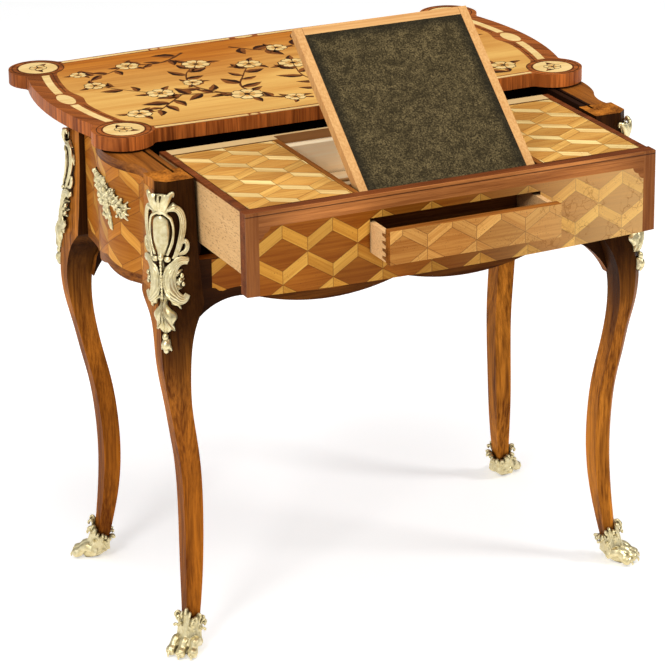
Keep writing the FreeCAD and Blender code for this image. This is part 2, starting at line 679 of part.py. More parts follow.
def banding_outline():
    """The field inside the mahogany frame: square below, with an ogee in each upper corner."""
    half = size("post_inner") - size("front_gap") - size("banding_stile")
    y = formula(FRONT)
    high = size("drawer_top") - size("banding_rail")
    low = size("front_mid_low") - size("banding_rail")
    notch = size("banding_notch")
    bend = notch * 0.36
    edges = [
        line((-half, y, low), (half, y, low)),
        line((half, y, low), (half, y, high - notch)),
        arc((half, y, high - notch), (half - bend, y, high - notch + bend / 2), (half - notch / 2, y, high - notch / 2)),
        arc((half - notch / 2, y, high - notch / 2), (half - notch + bend / 2, y, high - bend), (half - notch, y, high)),
        line((half - notch, y, high), (notch - half, y, high)),
        arc((notch - half, y, high), (notch - half - bend / 2, y, high - bend), (notch / 2 - half, y, high - notch / 2)),
        arc((notch / 2 - half, y, high - notch / 2), (bend - half, y, high - notch + bend / 2), (-half, y, high - notch)),
        line((-half, y, high - notch), (-half, y, low)),
    ]
    return prism(edges, (0, size("banding_thick"), 0))


SMALL_GAP = "running_gap"
small_mouth = board("small_mouth", (f"-(small_half + {SMALL_GAP})", f"small_half + {SMALL_GAP}"), (FRONT, FRONT_REAR),
                    (f"small_low - {SMALL_GAP}", f"small_high + {SMALL_GAP}"))
front_blank = solid("front_blank", front_outline())
field = solid("banding_field", banding_outline())
skin = board("banding_skin", ("-post_inner", "post_inner"), (FRONT, f"{FRONT} + banding_thick"), ("apron_lobe", "drawer_top"))
banding = keep("front_banding", cut("front_banding", common("front_skin", front_blank, skin), field))
keep("drawer_front", cut("drawer_front", front_blank, banding, small_mouth))

# The small drawer's housing, and the deeper well behind it.
HOUSING_END = f"{FRONT} + small_depth + lid_gap + floor_thick"
well_x = ("-well_half", "well_half")
housing_y = (FRONT_REAR, HOUSING_END)
HOUSING_LOW = f"small_low - {SMALL_GAP}"
HOUSING_HIGH = f"small_high + {SMALL_GAP}"
keep("drawer_housing_floor", board("housing_floor", well_x, housing_y, (f"{HOUSING_LOW} - floor_thick", HOUSING_LOW)))
keep("drawer_housing_top", board("housing_top", well_x, housing_y, (HOUSING_HIGH, f"{HOUSING_HIGH} + floor_thick")))
keep("drawer_housing_back", board("housing_back", well_x, (f"{HOUSING_END} - floor_thick", HOUSING_END),
                                  (HOUSING_LOW, HOUSING_HIGH)))
keep("well_floor", board("well_floor", well_x, (HOUSING_END, BACK_FACE), (f"{WELL_FLOOR} - floor_thick", WELL_FLOOR)))

lid_x = (LID_INNER, LID_OUTER)
rest = board("right_rest", (DIVIDER_OUT, SIDE_INNER), (FRONT_REAR, f"{FRONT_REAR} + floor_thick"),
             (f"drawer_top - lid_thick - running_gap - floor_thick", "drawer_top - lid_thick - running_gap"))
keep("lid_rests", group("lid_rests", rest, mirror("left_rest", rest, LEFT)))

# The lids, with a round back edge about their pins.
lid_blank = join(
    "lid_blank",
    board("lid_leaf", lid_x, (f"{FRONT_REAR} + lid_gap", LID_PIN_Y), ("drawer_top - lid_thick", "drawer_top")),
    rod("lid_nose", "lid_thick / 2", lid_x, LID_PIN_Y, LID_PIN_Z),
)
inner_bore = rod("inner_lid_bore", "pin_radius + pin_clear", inner_pin_x, LID_PIN_Y, LID_PIN_Z)
outer_bore = rod("outer_lid_bore", "pin_radius + pin_clear", outer_pin_x, LID_PIN_Y, LID_PIN_Z)
right_lid = keep("right_lid", cut("right_lid", lid_blank, inner_bore, outer_bore))
keep("left_lid", mirror("left_lid", right_lid, LEFT))

# The slope, built lying down and then tilted about its pivot.
pivot = Vector(0, formula(PIVOT_Y), formula(PIVOT_Z))
tilt = size("slope_angle")


def tilted(name, source):
    """A piece of the slope, tilted as the slope stands."""
    made = doc.addObject("Part::Compound", name)
    made.Links = [source]
    made.Placement = Placement(Vector(), Rotation(Vector(1, 0, 0), tilt), pivot)
    return made


SLOPE_HIGH = "drawer_top"
SLOPE_LOW = "drawer_top - slope_thick"
SLOPE_END = f"{PIVOT_Y} + slope_reach"
SLOPE_FIELD_FRONT = f"{PIVOT_Y} + slope_stile / 2"
SLOPE_FIELD_END = f"{SLOPE_END} - slope_stile"
PANEL_LOW = f"{SLOPE_HIGH} - leather_thick - panel_thick"
slope_x = ("-slope_half", "slope_half")
field_x = ("slope_stile - slope_half", "slope_half - slope_stile")
field_y = (SLOPE_FIELD_FRONT, SLOPE_FIELD_END)
slope_blank = join(
    "slope_blank",
    board("slope_leaf", slope_x, (PIVOT_Y, SLOPE_END), (SLOPE_LOW, SLOPE_HIGH)),
    rod("slope_nose", "slope_thick / 2", slope_x, PIVOT_Y, PIVOT_Z),
)
right_slope_bore = rod("right_slope_bore", "slope_pin + pin_clear", slope_pin_x, PIVOT_Y, PIVOT_Z)
slope_field = board("slope_field", field_x, field_y, (SLOPE_LOW, SLOPE_HIGH))
slope_ring = cut("slope_ring", slope_blank, slope_field, right_slope_bore, mirror("left_slope_bore", right_slope_bore, LEFT))
keep("slope_frame", tilted("slope_frame", slope_ring))
panel = board("panel_flat", field_x, field_y, (PANEL_LOW, f"{SLOPE_HIGH} - leather_thick"))
leather = board("leather_flat", field_x, field_y, (f"{SLOPE_HIGH} - leather_thick", SLOPE_HIGH))
keep("slope_leather", tilted("slope_leather", leather))
keep("slope_panel", tilted("slope_panel", panel))

# The prop is as long as its hinge is far from the slope's pivot, so that its foot runs along a straight line
# through the pivot, and it turns back twice as far as the slope rises.
PROP_Y = f"{PIVOT_Y} + prop_length"
PROP_Z = f"{PIVOT_Z} - prop_drop"
prop_fall = math.degrees(math.atan2(size("prop_drop"), size("prop_length")))
prop_reach = math.hypot(size("prop_length"), size("prop_drop"))
hinge_flat = Vector(0, formula(PROP_Y), formula(PROP_Z))
hinge = Placement(Vector(), Rotation(Vector(1, 0, 0), tilt), pivot).multVec(hinge_flat)
LUG_OUT = "slope_half - slope_stile - lid_gap"
lug_y = (f"{PROP_Y} - prop_thick", f"{PROP_Y} + prop_thick")
prop_pin_x = ("prop_half - slope_stile / 2", f"{LUG_OUT}")
flat_pin = rod("flat_prop_pin", "prop_pin", prop_pin_x, PROP_Y, PROP_Z)
flat_lug_blank = board("flat_prop_lug", ("prop_half + running_gap", LUG_OUT), lug_y, (f"{PROP_Z} - prop_thick / 2", PANEL_LOW))
flat_lug = cut("flat_lug", flat_lug_blank, flat_pin)
lug_pair = group("lug_pair", flat_lug, mirror("left_flat_lug", flat_lug, LEFT))
pin_pair = group("prop_pin_pair", flat_pin, mirror("left_flat_pin", flat_pin, LEFT))
keep("prop_lugs", tilted("prop_lugs", lug_pair))
keep("prop_pins", tilted("prop_pins", pin_pair))


def prop_shape():
    """The prop lying flat behind its hinge, with bores for its pins and a bed for its foot bar."""
    half = size("prop_half")
    thick = size("prop_thick")
    y, z = hinge_flat.y, hinge_flat.z
    foot = y + prop_reach
    plate = Part.makeBox(2 * half, prop_reach, thick, Vector(-half, y, z - thick / 2))
    nose = Part.makeCylinder(thick / 2, 2 * half, Vector(-half, y, z), Vector(1, 0, 0))
    bore = Part.makeCylinder(size("prop_pin") + size("pin_clear"), 3 * half, Vector(-1.5 * half, y, z), Vector(1, 0, 0))
    bed = Part.makeCylinder(size("foot_radius"), 3 * half, Vector(-1.5 * half, foot, z), Vector(1, 0, 0))
    return plate.fuse(nose).cut(bore.fuse(bed)).removeSplitter()


def prop_placement():
    """Turns the prop from lying along the slope to where its foot stands."""
    down = Placement(Vector(), Rotation(Vector(1, 0, 0), -prop_fall - tilt), hinge)
    return down.multiply(Placement(hinge - hinge_flat, Rotation()))


prop = solid("slope_prop", prop_shape())
prop.Placement = prop_placement()
keep("slope_prop", prop)
FOOT_OUT = "well_half - running_gap * 4"
foot_half = formula(FOOT_OUT)
foot_base = Vector(-foot_half, hinge_flat.y + prop_reach, hinge_flat.z)
foot_bar = solid("prop_foot", Part.makeCylinder(size("foot_radius"), 2 * foot_half, foot_base, Vector(1, 0, 0)))
foot_bar.Placement = prop_placement().multiply(foot_bar.Placement)
keep("prop_foot", foot_bar)

# The ratchet strips fall with the line that the foot runs on. Their notches are this far apart and deep.
NOTCH_PITCH = 9
NOTCH_DEPTH = 2.2


def ratchet_shape():
    """A right ratchet strip on the divider, from the steepest slope to the slope lying down."""
    fall = math.radians(prop_fall)
    ground = formula(HOUSING_HIGH) + size("floor_thick")
    drop = size("foot_radius") + size("running_gap")
    start = 2 * prop_reach * math.cos(math.radians(tilt + 20))
    end = 2 * prop_reach + size("foot_radius") * 2
    outer = size("well_half")
    x = outer - size("slope_stile") + 2

    def on_line(reach):
        return (x, pivot.y + reach * math.cos(fall), pivot.z - reach * math.sin(fall) - drop / math.cos(fall))

    first = on_line(start)
    last = on_line(end)
    points = [(x, first[1], ground), first]
    for number in range(int((end - start) / NOTCH_PITCH)):
        reach = start + number * NOTCH_PITCH
        deep = on_line(reach + NOTCH_PITCH / 3)
        points.append((x, deep[1], deep[2] - NOTCH_DEPTH))
        points.append(on_line(reach + NOTCH_PITCH))
    points += [last, (x, last[1], ground)]
    edges = [line(a, b) for a, b in zip(points, points[1:] + points[:1])]
    return prism(edges, (outer - x, 0, 0))


ratchet = solid("right_ratchet", ratchet_shape())
keep("ratchet_strips", group("ratchet_strips", ratchet, mirror("left_ratchet", ratchet, LEFT)))

# The small drawer.
SMALL_FRONT = f"{FRONT} - small_travel"
SMALL_BOX = f"{SMALL_FRONT} + small_front"
SMALL_END = f"{SMALL_FRONT} + small_depth"
SMALL_WALL_TOP = "small_high - small_drop"
keep("small_drawer_front", board("small_front_board", ("-small_half", "small_half"), (SMALL_FRONT, SMALL_BOX),
                                 ("small_low", "small_high")))
small_side = board("small_side", ("small_half - small_wall", "small_half"), (SMALL_BOX, SMALL_END),
                   ("small_low", SMALL_WALL_TOP))
keep("small_drawer_sides", group("small_drawer_sides", small_side, mirror("left_small_side", small_side, LEFT)))
small_x = ("small_wall - small_half", "small_half - small_wall")
keep("small_drawer_bottom", board("small_bottom", small_x, (SMALL_BOX, SMALL_END),
                                  ("small_low + running_gap", "small_low + running_gap + floor_thick")))
keep("small_drawer_back", board("small_back", small_x, (f"{SMALL_END} - small_wall", SMALL_END),
                                ("small_low + running_gap + floor_thick", SMALL_WALL_TOP)))
doc.recompute()

# Gilt mounts. Each is built on the front right corner and seated on the wood that carries it.
OUTWARD = Vector(1, -1, 0).normalize()
ACROSS = Vector(1, 1, 0).normalize()


def on_corner(height, across, out, deeper):
    """A point beside the cant of the post: across it, and out from it."""
    return corner_at(height, deeper) + ACROSS * across + OUTWARD * out


def strap(points, radius):
    """A round strap along a smooth line."""
    curve = Part.BSplineCurve()
    curve.interpolate(points)
    spine = Part.Wire(curve.toShape())
    start = curve.parameterAtDistance(0)
    ring = Part.Wire(Part.makeCircle(radius, points[0], curve.tangent(start)[0]))
    return spine.makePipeShell([ring], True, True)


# Depth below the top of the post, spread across the cant, thickness and half height of the corner mount's
# lumps: crest, shaft, leaf, drop and bud.
CORNER_LUMPS = [(25, 16, 10, 14), (69, 9, 12, 40), (137, 21, 13, 46), (193, 15, 12, 28), (226, 9, 10, 18)]
# Depth below the top of the post, spread and stand-off of the points along a side scroll and a lower curl.
SCROLL_POINTS = [(17, 4, 3), (35, 20, -6), (62, 25, -9), (89, 15, -2), (107, 4, 4)]
SCROLL_RADIUS = 5
CURL_POINTS = [(111, 10, 3), (129, 26, -10), (155, 25, -9), (173, 10, 2)]


def corner_mount_shape(deeper):
    """The scrolled corner mount before it is seated on the leg."""
    lumps = []
    for depth, wide, thick, tall in CORNER_LUMPS:
        lumps.append(egg(on_corner(carcass_top - depth, 0, 0, deeper), (thick, wide, tall), -45))
    for points in (SCROLL_POINTS, CURL_POINTS):
        for side in (-1, 1):
            path = [on_corner(carcass_top - depth, side * across, out, deeper) for depth, across, out in points]
            lumps.append(strap(path, SCROLL_RADIUS))
    whole = lumps[0]
    for lump in lumps[1:]:
        whole = whole.fuse(lump)
    return whole


def seated(shape, carrier):
    """The largest solid left of a shape when the wood that carries it is taken away."""
    left = shape.cut(carrier)
    return max(left.Solids, key=lambda piece: piece.Volume)


corner_mount = solid("front_right_corner_mount", seated(corner_mount_shape(0), front_leg.Shape))
keep("front_right_corner_mount", corner_mount)
keep("front_left_corner_mount", mirror("front_left_corner_mount", corner_mount, LEFT))
back_blank = solid("back_mount_blank", seated(corner_mount_shape(size("back_post_set")), back_blank_leg.Shape))
back_mount = keep("back_right_corner_mount", mirror("back_right_corner_mount", back_blank, BACK))
keep("back_left_corner_mount", mirror("back_left_corner_mount", back_mount, LEFT))

# The leaf spray in the middle of a side: place along the side, depth below the top of the rail, and half
# sizes of each leaf.
SPRAY = [(-8, 55, 11, 22), (-25, 45, 9, 17), (9, 43, 9, 17), (-28, 71, 12, 11), (12, 71, 12, 11), (-8, 87, 8, 20)]
SPRAY_THICK = 6
# The half length of rail that the spray is drawn for. A longer rail gets a longer spray.
SPRAY_RAIL = 115


def side_mount_shape():
    """A spray of leaves on the right side rail."""
    face = size("rail_inner") + size("rail_bulge")
    stretch = post_back / SPRAY_RAIL
    whole = None
    for along, depth, wide, tall in SPRAY:
        bend = along * along / (3 * size("rail_bulge"))
        leaf = egg((face - bend / 2, along * stretch, carcass_top - depth), (SPRAY_THICK, wide * stretch, tall))
        whole = whole.fuse(leaf) if whole else leaf
    return whole


side_mount = keep("right_side_mount", solid("right_side_mount", seated(side_mount_shape(), side_rail.Shape)))
keep("left_side_mount", mirror("left_side_mount", side_mount, LEFT))

# The lion paw: its lumps as distance out from the foot of the leg, across, height, and half sizes.
PAW_LUMPS = [
    (4, 0, 16, 26, 20, 19),
    (-5, 0, 34, 18, 18, 32),
    (22, -15, 10, 14, 8, 12),
    (27, -5, 10, 14, 7, 13),
    (27, 5, 10, 14, 7, 13),
    (22, 15, 10, 14, 8, 12),
]


def paw_shape():
    """A lion's paw that holds the foot of the front right leg."""
    share, x_low, x_high, y_low, y_high = LEG_STATIONS[0]
    foot = Vector(size("post_inner") + (x_low + x_high) / 2, -(post_back + (y_low + y_high) / 2), 0)
    whole = None
    for out, across, height, long, wide, tall in PAW_LUMPS:
        lump = egg(foot + OUTWARD * out + ACROSS * across + Vector(0, 0, height), (long, wide, tall), -45)
        whole = whole.fuse(lump) if whole else lump
    reach = size("post_inner")
    ground = Part.makeBox(reach, reach, reach, foot - Vector(reach / 2, reach / 2, reach))
    return whole.cut(ground)


paw = keep("front_right_paw", solid("front_right_paw", seated(paw_shape(), front_leg.Shape)))
keep("front_left_paw", mirror("front_left_paw", paw, LEFT))
back_paw_blank = solid("back_paw_blank", seated(paw_shape(), back_blank_leg.Shape))
back_paw = keep("back_right_paw", mirror("back_right_paw", back_paw_blank, BACK))
keep("back_left_paw", mirror("back_left_paw", back_paw, LEFT))
doc.recompute()

failed = [item.Label for item in doc.Objects if {"Invalid", "Error"} & set(item.State)]
if failed:
    raise RuntimeError(f"failed objects: {failed}")
for label, piece in pieces.items():
    if piece.Shape.isNull() or not piece.Shape.isValid() or not piece.Shape.Solids:
        raise RuntimeError(f"bad shape: {label}")

os.makedirs("parts", exist_ok=True)
for label, piece in pieces.items():
    piece.Shape.exportStep(f"parts/{label}.step")
    volume = sum(part.Volume for part in piece.Shape.Solids) / 1000
    print(f"{label}: {len(piece.Shape.Solids)} solid(s), {volume:.1f} cm3")
print(f"{len(pieces)} nodes")
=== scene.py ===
# %% [markdown]
# A small rococo writing table: the top slides back, a fitted drawer slides forward, and a leather
# slope stands up on its prop. The CAD model is the frame of this lesson. Its boards, legs and joints
# are right as they are, so they keep their shapes and only get better finishes. What a cabinet maker
# would add last is made here: veneers, inlays and the cast and gilt mounts.

# %% Load the frame and keep its box
import math
import random

import bpy
from mathutils import Matrix, Vector
from mathutils.bvhtree import BVHTree


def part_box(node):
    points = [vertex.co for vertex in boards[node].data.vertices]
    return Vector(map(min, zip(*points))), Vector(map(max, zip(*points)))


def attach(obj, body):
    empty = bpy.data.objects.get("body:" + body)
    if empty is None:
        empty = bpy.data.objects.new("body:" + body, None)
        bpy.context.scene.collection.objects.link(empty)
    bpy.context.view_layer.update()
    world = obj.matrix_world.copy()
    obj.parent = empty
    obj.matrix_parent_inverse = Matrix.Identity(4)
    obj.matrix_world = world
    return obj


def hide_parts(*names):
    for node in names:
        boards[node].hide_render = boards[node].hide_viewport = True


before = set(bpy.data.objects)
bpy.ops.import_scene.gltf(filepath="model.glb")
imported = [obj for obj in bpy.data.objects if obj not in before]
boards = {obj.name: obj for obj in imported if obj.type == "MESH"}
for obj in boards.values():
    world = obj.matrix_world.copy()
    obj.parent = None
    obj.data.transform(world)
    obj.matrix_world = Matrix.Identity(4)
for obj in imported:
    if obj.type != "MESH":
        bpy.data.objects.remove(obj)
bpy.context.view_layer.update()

MM = 0.001

# %% [markdown]
# The camera stands where the photographer stood: a long lens, well back, a little to the left of the
# front and looking down. Its frame is built from three directions, so the small tilt of the picture
# can be added as a turn about the line of sight.

# %% Camera
def deselect():
    """Leaves nothing selected, so an operator acts only on what comes next."""
    bpy.ops.object.select_all(action="DESELECT")


def pick(*objects):
    """Selects these objects alone and makes the first one active."""
    deselect()
    for one in objects:
        one.select_set(True)
    bpy.context.view_layer.objects.active = objects[0]


AZIMUTH, ELEVATION, ROLL = (math.radians(a) for a in (-24.79, 20.69, -0.72))
AIM = Vector((-0.03224, 0, 0.37429))
DISTANCE = 4.96618
FOCAL_SHARE = 3333.38 / 665
SENSOR = 36

deselect()
back = Vector((math.sin(AZIMUTH) * math.cos(ELEVATION), -math.cos(AZIMUTH) * math.cos(ELEVATION),
               math.sin(ELEVATION)))
right = (-back).cross(Vector((0, 0, 1))).normalized()
up = right.cross(-back)
tilted_right = math.cos(ROLL) * right + math.sin(ROLL) * up
tilted_up = math.cos(ROLL) * up - math.sin(ROLL) * right
bpy.ops.object.camera_add()
camera = bpy.context.object
camera.matrix_world = Matrix.Translation(AIM + DISTANCE * back) @ Matrix(
    (tilted_right, tilted_up, back)).transposed().to_4x4()
camera.data.sensor_width = SENSOR
camera.data.lens = SENSOR * FOCAL_SHARE
camera.data.clip_end = 50
bpy.context.scene.camera = camera
print("camera at", [round(v, 3) for v in camera.matrix_world.translation])

# %% [markdown]
# Every finish is a small node tree. A few helpers keep the trees readable: they add a node and wire its
# inputs, do sums, mix colours, and start materials and node groups with named sockets. Colours are
# written as they look on a screen, 0 to 255, and turned into the linear light that the shader works in.

# %% Helpers for node trees
def colour(red, green, blue):
    """A screen colour as linear light."""
    parts = [v / 255 for v in (red, green, blue)]
    return tuple(v / 12.92 if v < 0.04045 else ((v + 0.055) / 1.055) ** 2.4 for v in parts) + (1,)


def node(tree, kind, *inputs, out=0, **settings):
    """Adds a shader node. Inputs are values or sockets in the node's own order."""
    made = tree.nodes.new("ShaderNode" + kind)
    for name, value in settings.items():
        setattr(made, name, value)
    for socket, value in zip(made.inputs, inputs):
        if isinstance(value, bpy.types.NodeSocket):
            tree.links.new(value, socket)
        elif value is not None:
            socket.default_value = value
    return made.outputs[out]


def calc(tree, operation, *inputs):
    """A sum of values or sockets."""
    return node(tree, "Math", *inputs, operation=operation)


def times(tree, first, second):
    return calc(tree, "MULTIPLY", first, second)


def plus(tree, first, second):
    return calc(tree, "ADD", first, second)


def minus(tree, first, second):
    return calc(tree, "SUBTRACT", first, second)


def noise(tree, place, scale, detail, roughness, *others, out=0):
    """Noise at a place, as a value or, from output 1, as a colour."""
    return node(tree, "TexNoise", place, None, scale, detail, roughness, *others, out=out)


def own_place(tree):
    """The coordinates of the piece itself, in metres."""
    return tree.nodes.new("ShaderNodeTexCoord").outputs["Object"]


def ease(tree, value, low, high, low_to=0.0, high_to=1.0):
    """A smooth step from one value to another."""
    return node(tree, "MapRange", value, low, high, low_to, high_to, interpolation_type="SMOOTHSTEP")


def blend(tree, share, first, second, way="MIX"):
    """Two colours mixed by a share."""
    made = tree.nodes.new("ShaderNodeMix")
    made.data_type = "RGBA"
    made.blend_type = way
    for index, value in ((0, share), (6, first), (7, second)):
        if isinstance(value, bpy.types.NodeSocket):
            tree.links.new(value, made.inputs[index])
        else:
            made.inputs[index].default_value = value
    return made.outputs[2]


def split(tree, vector):
    """The X, Y and Z of a vector."""
    made = tree.nodes.new("ShaderNodeSeparateXYZ")
    tree.links.new(vector, made.inputs[0])
    return made.outputs


def start_group(name, inputs, outputs):
    """A node group with named inputs (name, type, value) and outputs (name, type)."""
    tree = bpy.data.node_groups.new(name, "ShaderNodeTree")
    for label, kind, value in inputs:
        socket = tree.interface.new_socket(label, in_out="INPUT", socket_type="NodeSocket" + kind)
        if value is not None:
            socket.default_value = value
    for label, kind in outputs:
        tree.interface.new_socket(label, in_out="OUTPUT", socket_type="NodeSocket" + kind)
    return tree, tree.nodes.new("NodeGroupInput").outputs, tree.nodes.new("NodeGroupOutput").inputs


def place_group(tree, group, **inputs):
    """Puts a group in a material with its own values and gives its outputs."""
    made = tree.nodes.new("ShaderNodeGroup")
    made.node_tree = group
    for label, value in inputs.items():
        socket = made.inputs[label.replace("_", " ")]
        if isinstance(value, bpy.types.NodeSocket):
            tree.links.new(value, socket)
        else:
            socket.default_value = value
    return made.outputs


POLISH_IOR = 1.15


def start_material(name, roughness, specular=0.5):
    """A new material, its node tree and its shader."""
    made = bpy.data.materials.new(name)
    made.use_nodes = True
    shader = made.node_tree.nodes["Principled BSDF"]
    shader.inputs["Roughness"].default_value = roughness
    shader.inputs["Specular IOR Level"].default_value = specular
    shader.inputs["IOR"].default_value = POLISH_IOR
    return made, made.node_tree, shader


GRAIN_DEPTH, FINE_DEPTH, BLOCK_DEPTH, BUMP_STRENGTH = 0.00025, 0.0002, 0.0003, 0.6


def dress(tree, shader, base, height, depth):
    """Wires a colour, and a height in the given depth, to a shader."""
    tree.links.new(base, shader.inputs["Base Color"])
    bump = tree.nodes.new("ShaderNodeBump")
    bump.inputs["Strength"].default_value = BUMP_STRENGTH
    bump.inputs["Distance"].default_value = depth
    tree.links.new(height, bump.inputs["Height"])
    tree.links.new(bump.outputs[0], shader.inputs["Normal"])


SEAM_REACH = 0.012
# The colour of painted shade in seams and corners.
SEAM_SHADE = colour(26, 11, 5)


def seam_shaded(tree, base, most=0.8):
    """A colour with painted shade: it darkens in corners and seams, where ambient occlusion finds them."""
    open_air = node(tree, "AmbientOcclusion", (1, 1, 1, 1), SEAM_REACH, out=1, samples=4)
    return blend(tree, ease(tree, open_air, 0.25, 0.8, most, 0.0), base, SEAM_SHADE)


print("helpers ready")

# %% [markdown]
# A white sweep of floor and three large soft lamps make a plain studio. The world is brightest high on
# the left and dark on the right, so the legs show a light and a dark side. The floor glows a little,
# as lit paper does, which keeps the background white without flattening the table.

# %% Studio
def lamp(name, place, aim, width, power):
    """A square soft lamp that shines from a place at a point."""
    bpy.ops.object.light_add(type="AREA", location=place)
    made = bpy.context.object
    made.name = name
    made.data.size = width
    made.data.energy = power
    made.rotation_euler = (Vector(aim) - Vector(place)).to_track_quat("-Z", "Y").to_euler()
    return made


lamp("lamp_over", (-0.2, -0.5, 3.2), (0, 0, 0.5), 1.8, 36)
lamp("lamp_left", (-2.4, -2.0, 2.4), (0, 0, 0.4), 0.8, 36)
lamp("lamp_right", (2.4, -1.8, 2.7), (0, 0, 0.4), 0.8, 45)

world = bpy.data.worlds.new("studio")
world.use_nodes = True
sky = world.node_tree
heading = sky.nodes.new("ShaderNodeTexCoord").outputs["Generated"]
lit_side = node(sky, "VectorMath", heading, (-0.74, -0.22, 0.64), operation="DOT_PRODUCT", out=1)
sky.nodes["Background"].inputs["Color"].default_value = (1, 1, 1, 1)
sky.links.new(ease(sky, lit_side, -0.3, 0.95, 0.10, 0.72), sky.nodes["Background"].inputs["Strength"])
bpy.context.scene.world = world
bpy.context.scene.view_settings.view_transform = "Standard"

bpy.ops.mesh.primitive_plane_add(size=30, location=(0, 0, -0.0004))
floor = bpy.context.object
floor.name = "floor"
paper = bpy.data.materials.new("floor_paper")
paper.use_nodes = True
paper_shader = paper.node_tree.nodes["Principled BSDF"]
paper_shader.inputs["Base Color"].default_value = (0.93, 0.93, 0.93, 1)
paper_shader.inputs["Roughness"].default_value = 0.9
paper_shader.inputs["Specular IOR Level"].default_value = 0.1
paper_shader.inputs["Emission Color"].default_value = (1, 1, 1, 1)
paper_shader.inputs["Emission Strength"].default_value = 0.42
floor.data.materials.append(paper)
print("lamps: 3, floor:", floor.name)

# %% [markdown]
# Wood grain is noise pulled out along the fibres. Broad bands give the figure, finer streaks the
# growth lines, and the finest dashes the pores. The group takes any coordinates whose X runs along
# the fibres, so one group serves every board, veneer and inlay.

# %% Wood grain
BAND_WAVER = 0.9


def stretched(tree, place, along, across):
    """A place scaled by one number along the fibres and by another across them."""
    return node(tree, "Mapping", place, None, None, (along, across, across))


grain, came, went = start_group(
    "wood_grain",
    [("Vector", "Vector", None), ("Light", "Color", colour(170, 100, 50)),
     ("Dark", "Color", colour(80, 38, 18)), ("Figure", "Float", 0.6), ("Pores", "Float", 0.5)],
    [("Color", "Color"), ("Height", "Float")])
bands = noise(grain, stretched(grain, came["Vector"], 3.2, 46), 1.0, 4.0, 0.55, None, None, BAND_WAVER)
streaks = noise(grain, stretched(grain, came["Vector"], 9, 330), 1.0, 3.0, 0.6)
dashes = noise(grain, stretched(grain, came["Vector"], 46, 1500), 1.0, 2.0, 0.5)
figure = ease(grain, bands, 0.32, 0.68)
fine = ease(grain, streaks, 0.3, 0.7)
tone = plus(grain, times(grain, figure, came["Figure"]),
            times(grain, fine, minus(grain, 1.0, came["Figure"])))
pores = times(grain, ease(grain, dashes, 0.56, 0.7), came["Pores"])
wood = blend(grain, tone, came["Dark"], came["Light"])
grain.links.new(blend(grain, times(grain, pores, 0.55), wood, came["Dark"]), went["Color"])
grain.links.new(minus(grain, times(grain, fine, 0.5), pores), went["Height"])
print("group:", grain.name, "with", len(grain.nodes), "nodes")

# %% [markdown]
# The parquetry is the tumbling-block pattern: brown lozenges with a pale slanting face on each side,
# so they read as steps. It is worked out with plain arithmetic from two coordinates in metres. Each
# tile gets a tone of its own, its grain follows its slant, and a fine dark line of glue parts the
# tiles.

# %% Tumbling blocks
LOZENGE_WIDE, LOZENGE_HIGH, FACE_HIGH = 0.075, 0.047, 0.0195
HALF_STEP = LOZENGE_HIGH / 2 + FACE_HIGH
SLANT = LOZENGE_HIGH / LOZENGE_WIDE
GLUE, GLUE_DARK = 0.00035, 0.7

blocks, came, went = start_group(
    "tumbling_blocks",
    [("Vector", "Vector", None), ("Lozenge", "Color", colour(160, 95, 40)),
     ("Rising", "Color", colour(215, 160, 90)), ("Falling", "Color", colour(200, 145, 75)),
     ("Burr", "Float", 0.5)],
    [("Color", "Color"), ("Height", "Float")])
u, v, _ = split(blocks, came["Vector"])
columns = plus(blocks, calc(blocks, "DIVIDE", u, LOZENGE_WIDE), 0.5)
across = minus(blocks, times(blocks, calc(blocks, "FRACT", columns), 2.0), 1.0)
away = calc(blocks, "ABSOLUTE", across)
even_up = calc(blocks, "WRAP", v, HALF_STEP, -HALF_STEP)
odd_up = calc(blocks, "WRAP", minus(blocks, v, HALF_STEP), HALF_STEP, -HALF_STEP)
even_gap = minus(blocks, calc(blocks, "ABSOLUTE", even_up),
                 times(blocks, minus(blocks, 1.0, away), LOZENGE_HIGH / 2))
odd_gap = minus(blocks, calc(blocks, "ABSOLUTE", odd_up), times(blocks, away, LOZENGE_HIGH / 2))
is_even = calc(blocks, "LESS_THAN", even_gap, 0.0)
is_odd = calc(blocks, "LESS_THAN", odd_gap, 0.0)
is_lozenge = calc(blocks, "MAXIMUM", is_even, is_odd)
is_rising = calc(blocks, "LESS_THAN", times(blocks, across, even_up), 0.0)
even_row = calc(blocks, "FLOOR", plus(blocks, calc(blocks, "DIVIDE", v, 2 * HALF_STEP), 0.5))
odd_row = calc(blocks, "FLOOR", calc(blocks, "DIVIDE", v, 2 * HALF_STEP))
odd_column = calc(blocks, "FLOOR", calc(blocks, "DIVIDE", u, LOZENGE_WIDE))
half_column = calc(blocks, "FLOOR", times(blocks, u, 2 / LOZENGE_WIDE))
side = calc(blocks, "SIGN", even_up)
even_name = node(blocks, "CombineXYZ", calc(blocks, "FLOOR", columns), even_row, 7.0)
odd_name = node(blocks, "CombineXYZ", odd_column, odd_row, 13.0)
face_name = node(blocks, "CombineXYZ", half_column, even_row, times(blocks, side, 3.0))
tile = blend(blocks, is_even, blend(blocks, is_odd, face_name, odd_name), even_name)
chance = node(blocks, "TexWhiteNoise", tile, noise_dimensions="3D")
lean = times(blocks, minus(blocks, times(blocks, is_rising, 2.0), 1.0),
             times(blocks, minus(blocks, 1.0, is_lozenge), SLANT))
along_grain = node(blocks, "CombineXYZ", u, minus(blocks, v, times(blocks, u, lean)),
                   times(blocks, chance, 3.0))
face = blend(blocks, is_rising, came["Falling"], came["Rising"])
plain = blend(blocks, is_lozenge, face, came["Lozenge"])
lit = plus(blocks, times(blocks, chance, 0.30), 0.84)
light = blend(blocks, 1.0, plain, node(blocks, "CombineXYZ", lit, lit, lit), "MULTIPLY")
dark = blend(blocks, 1.0, light, colour(205, 178, 150), "MULTIPLY")
veined = place_group(blocks, grain, Vector=along_grain, Light=light, Dark=dark, Figure=0.5, Pores=0.35)
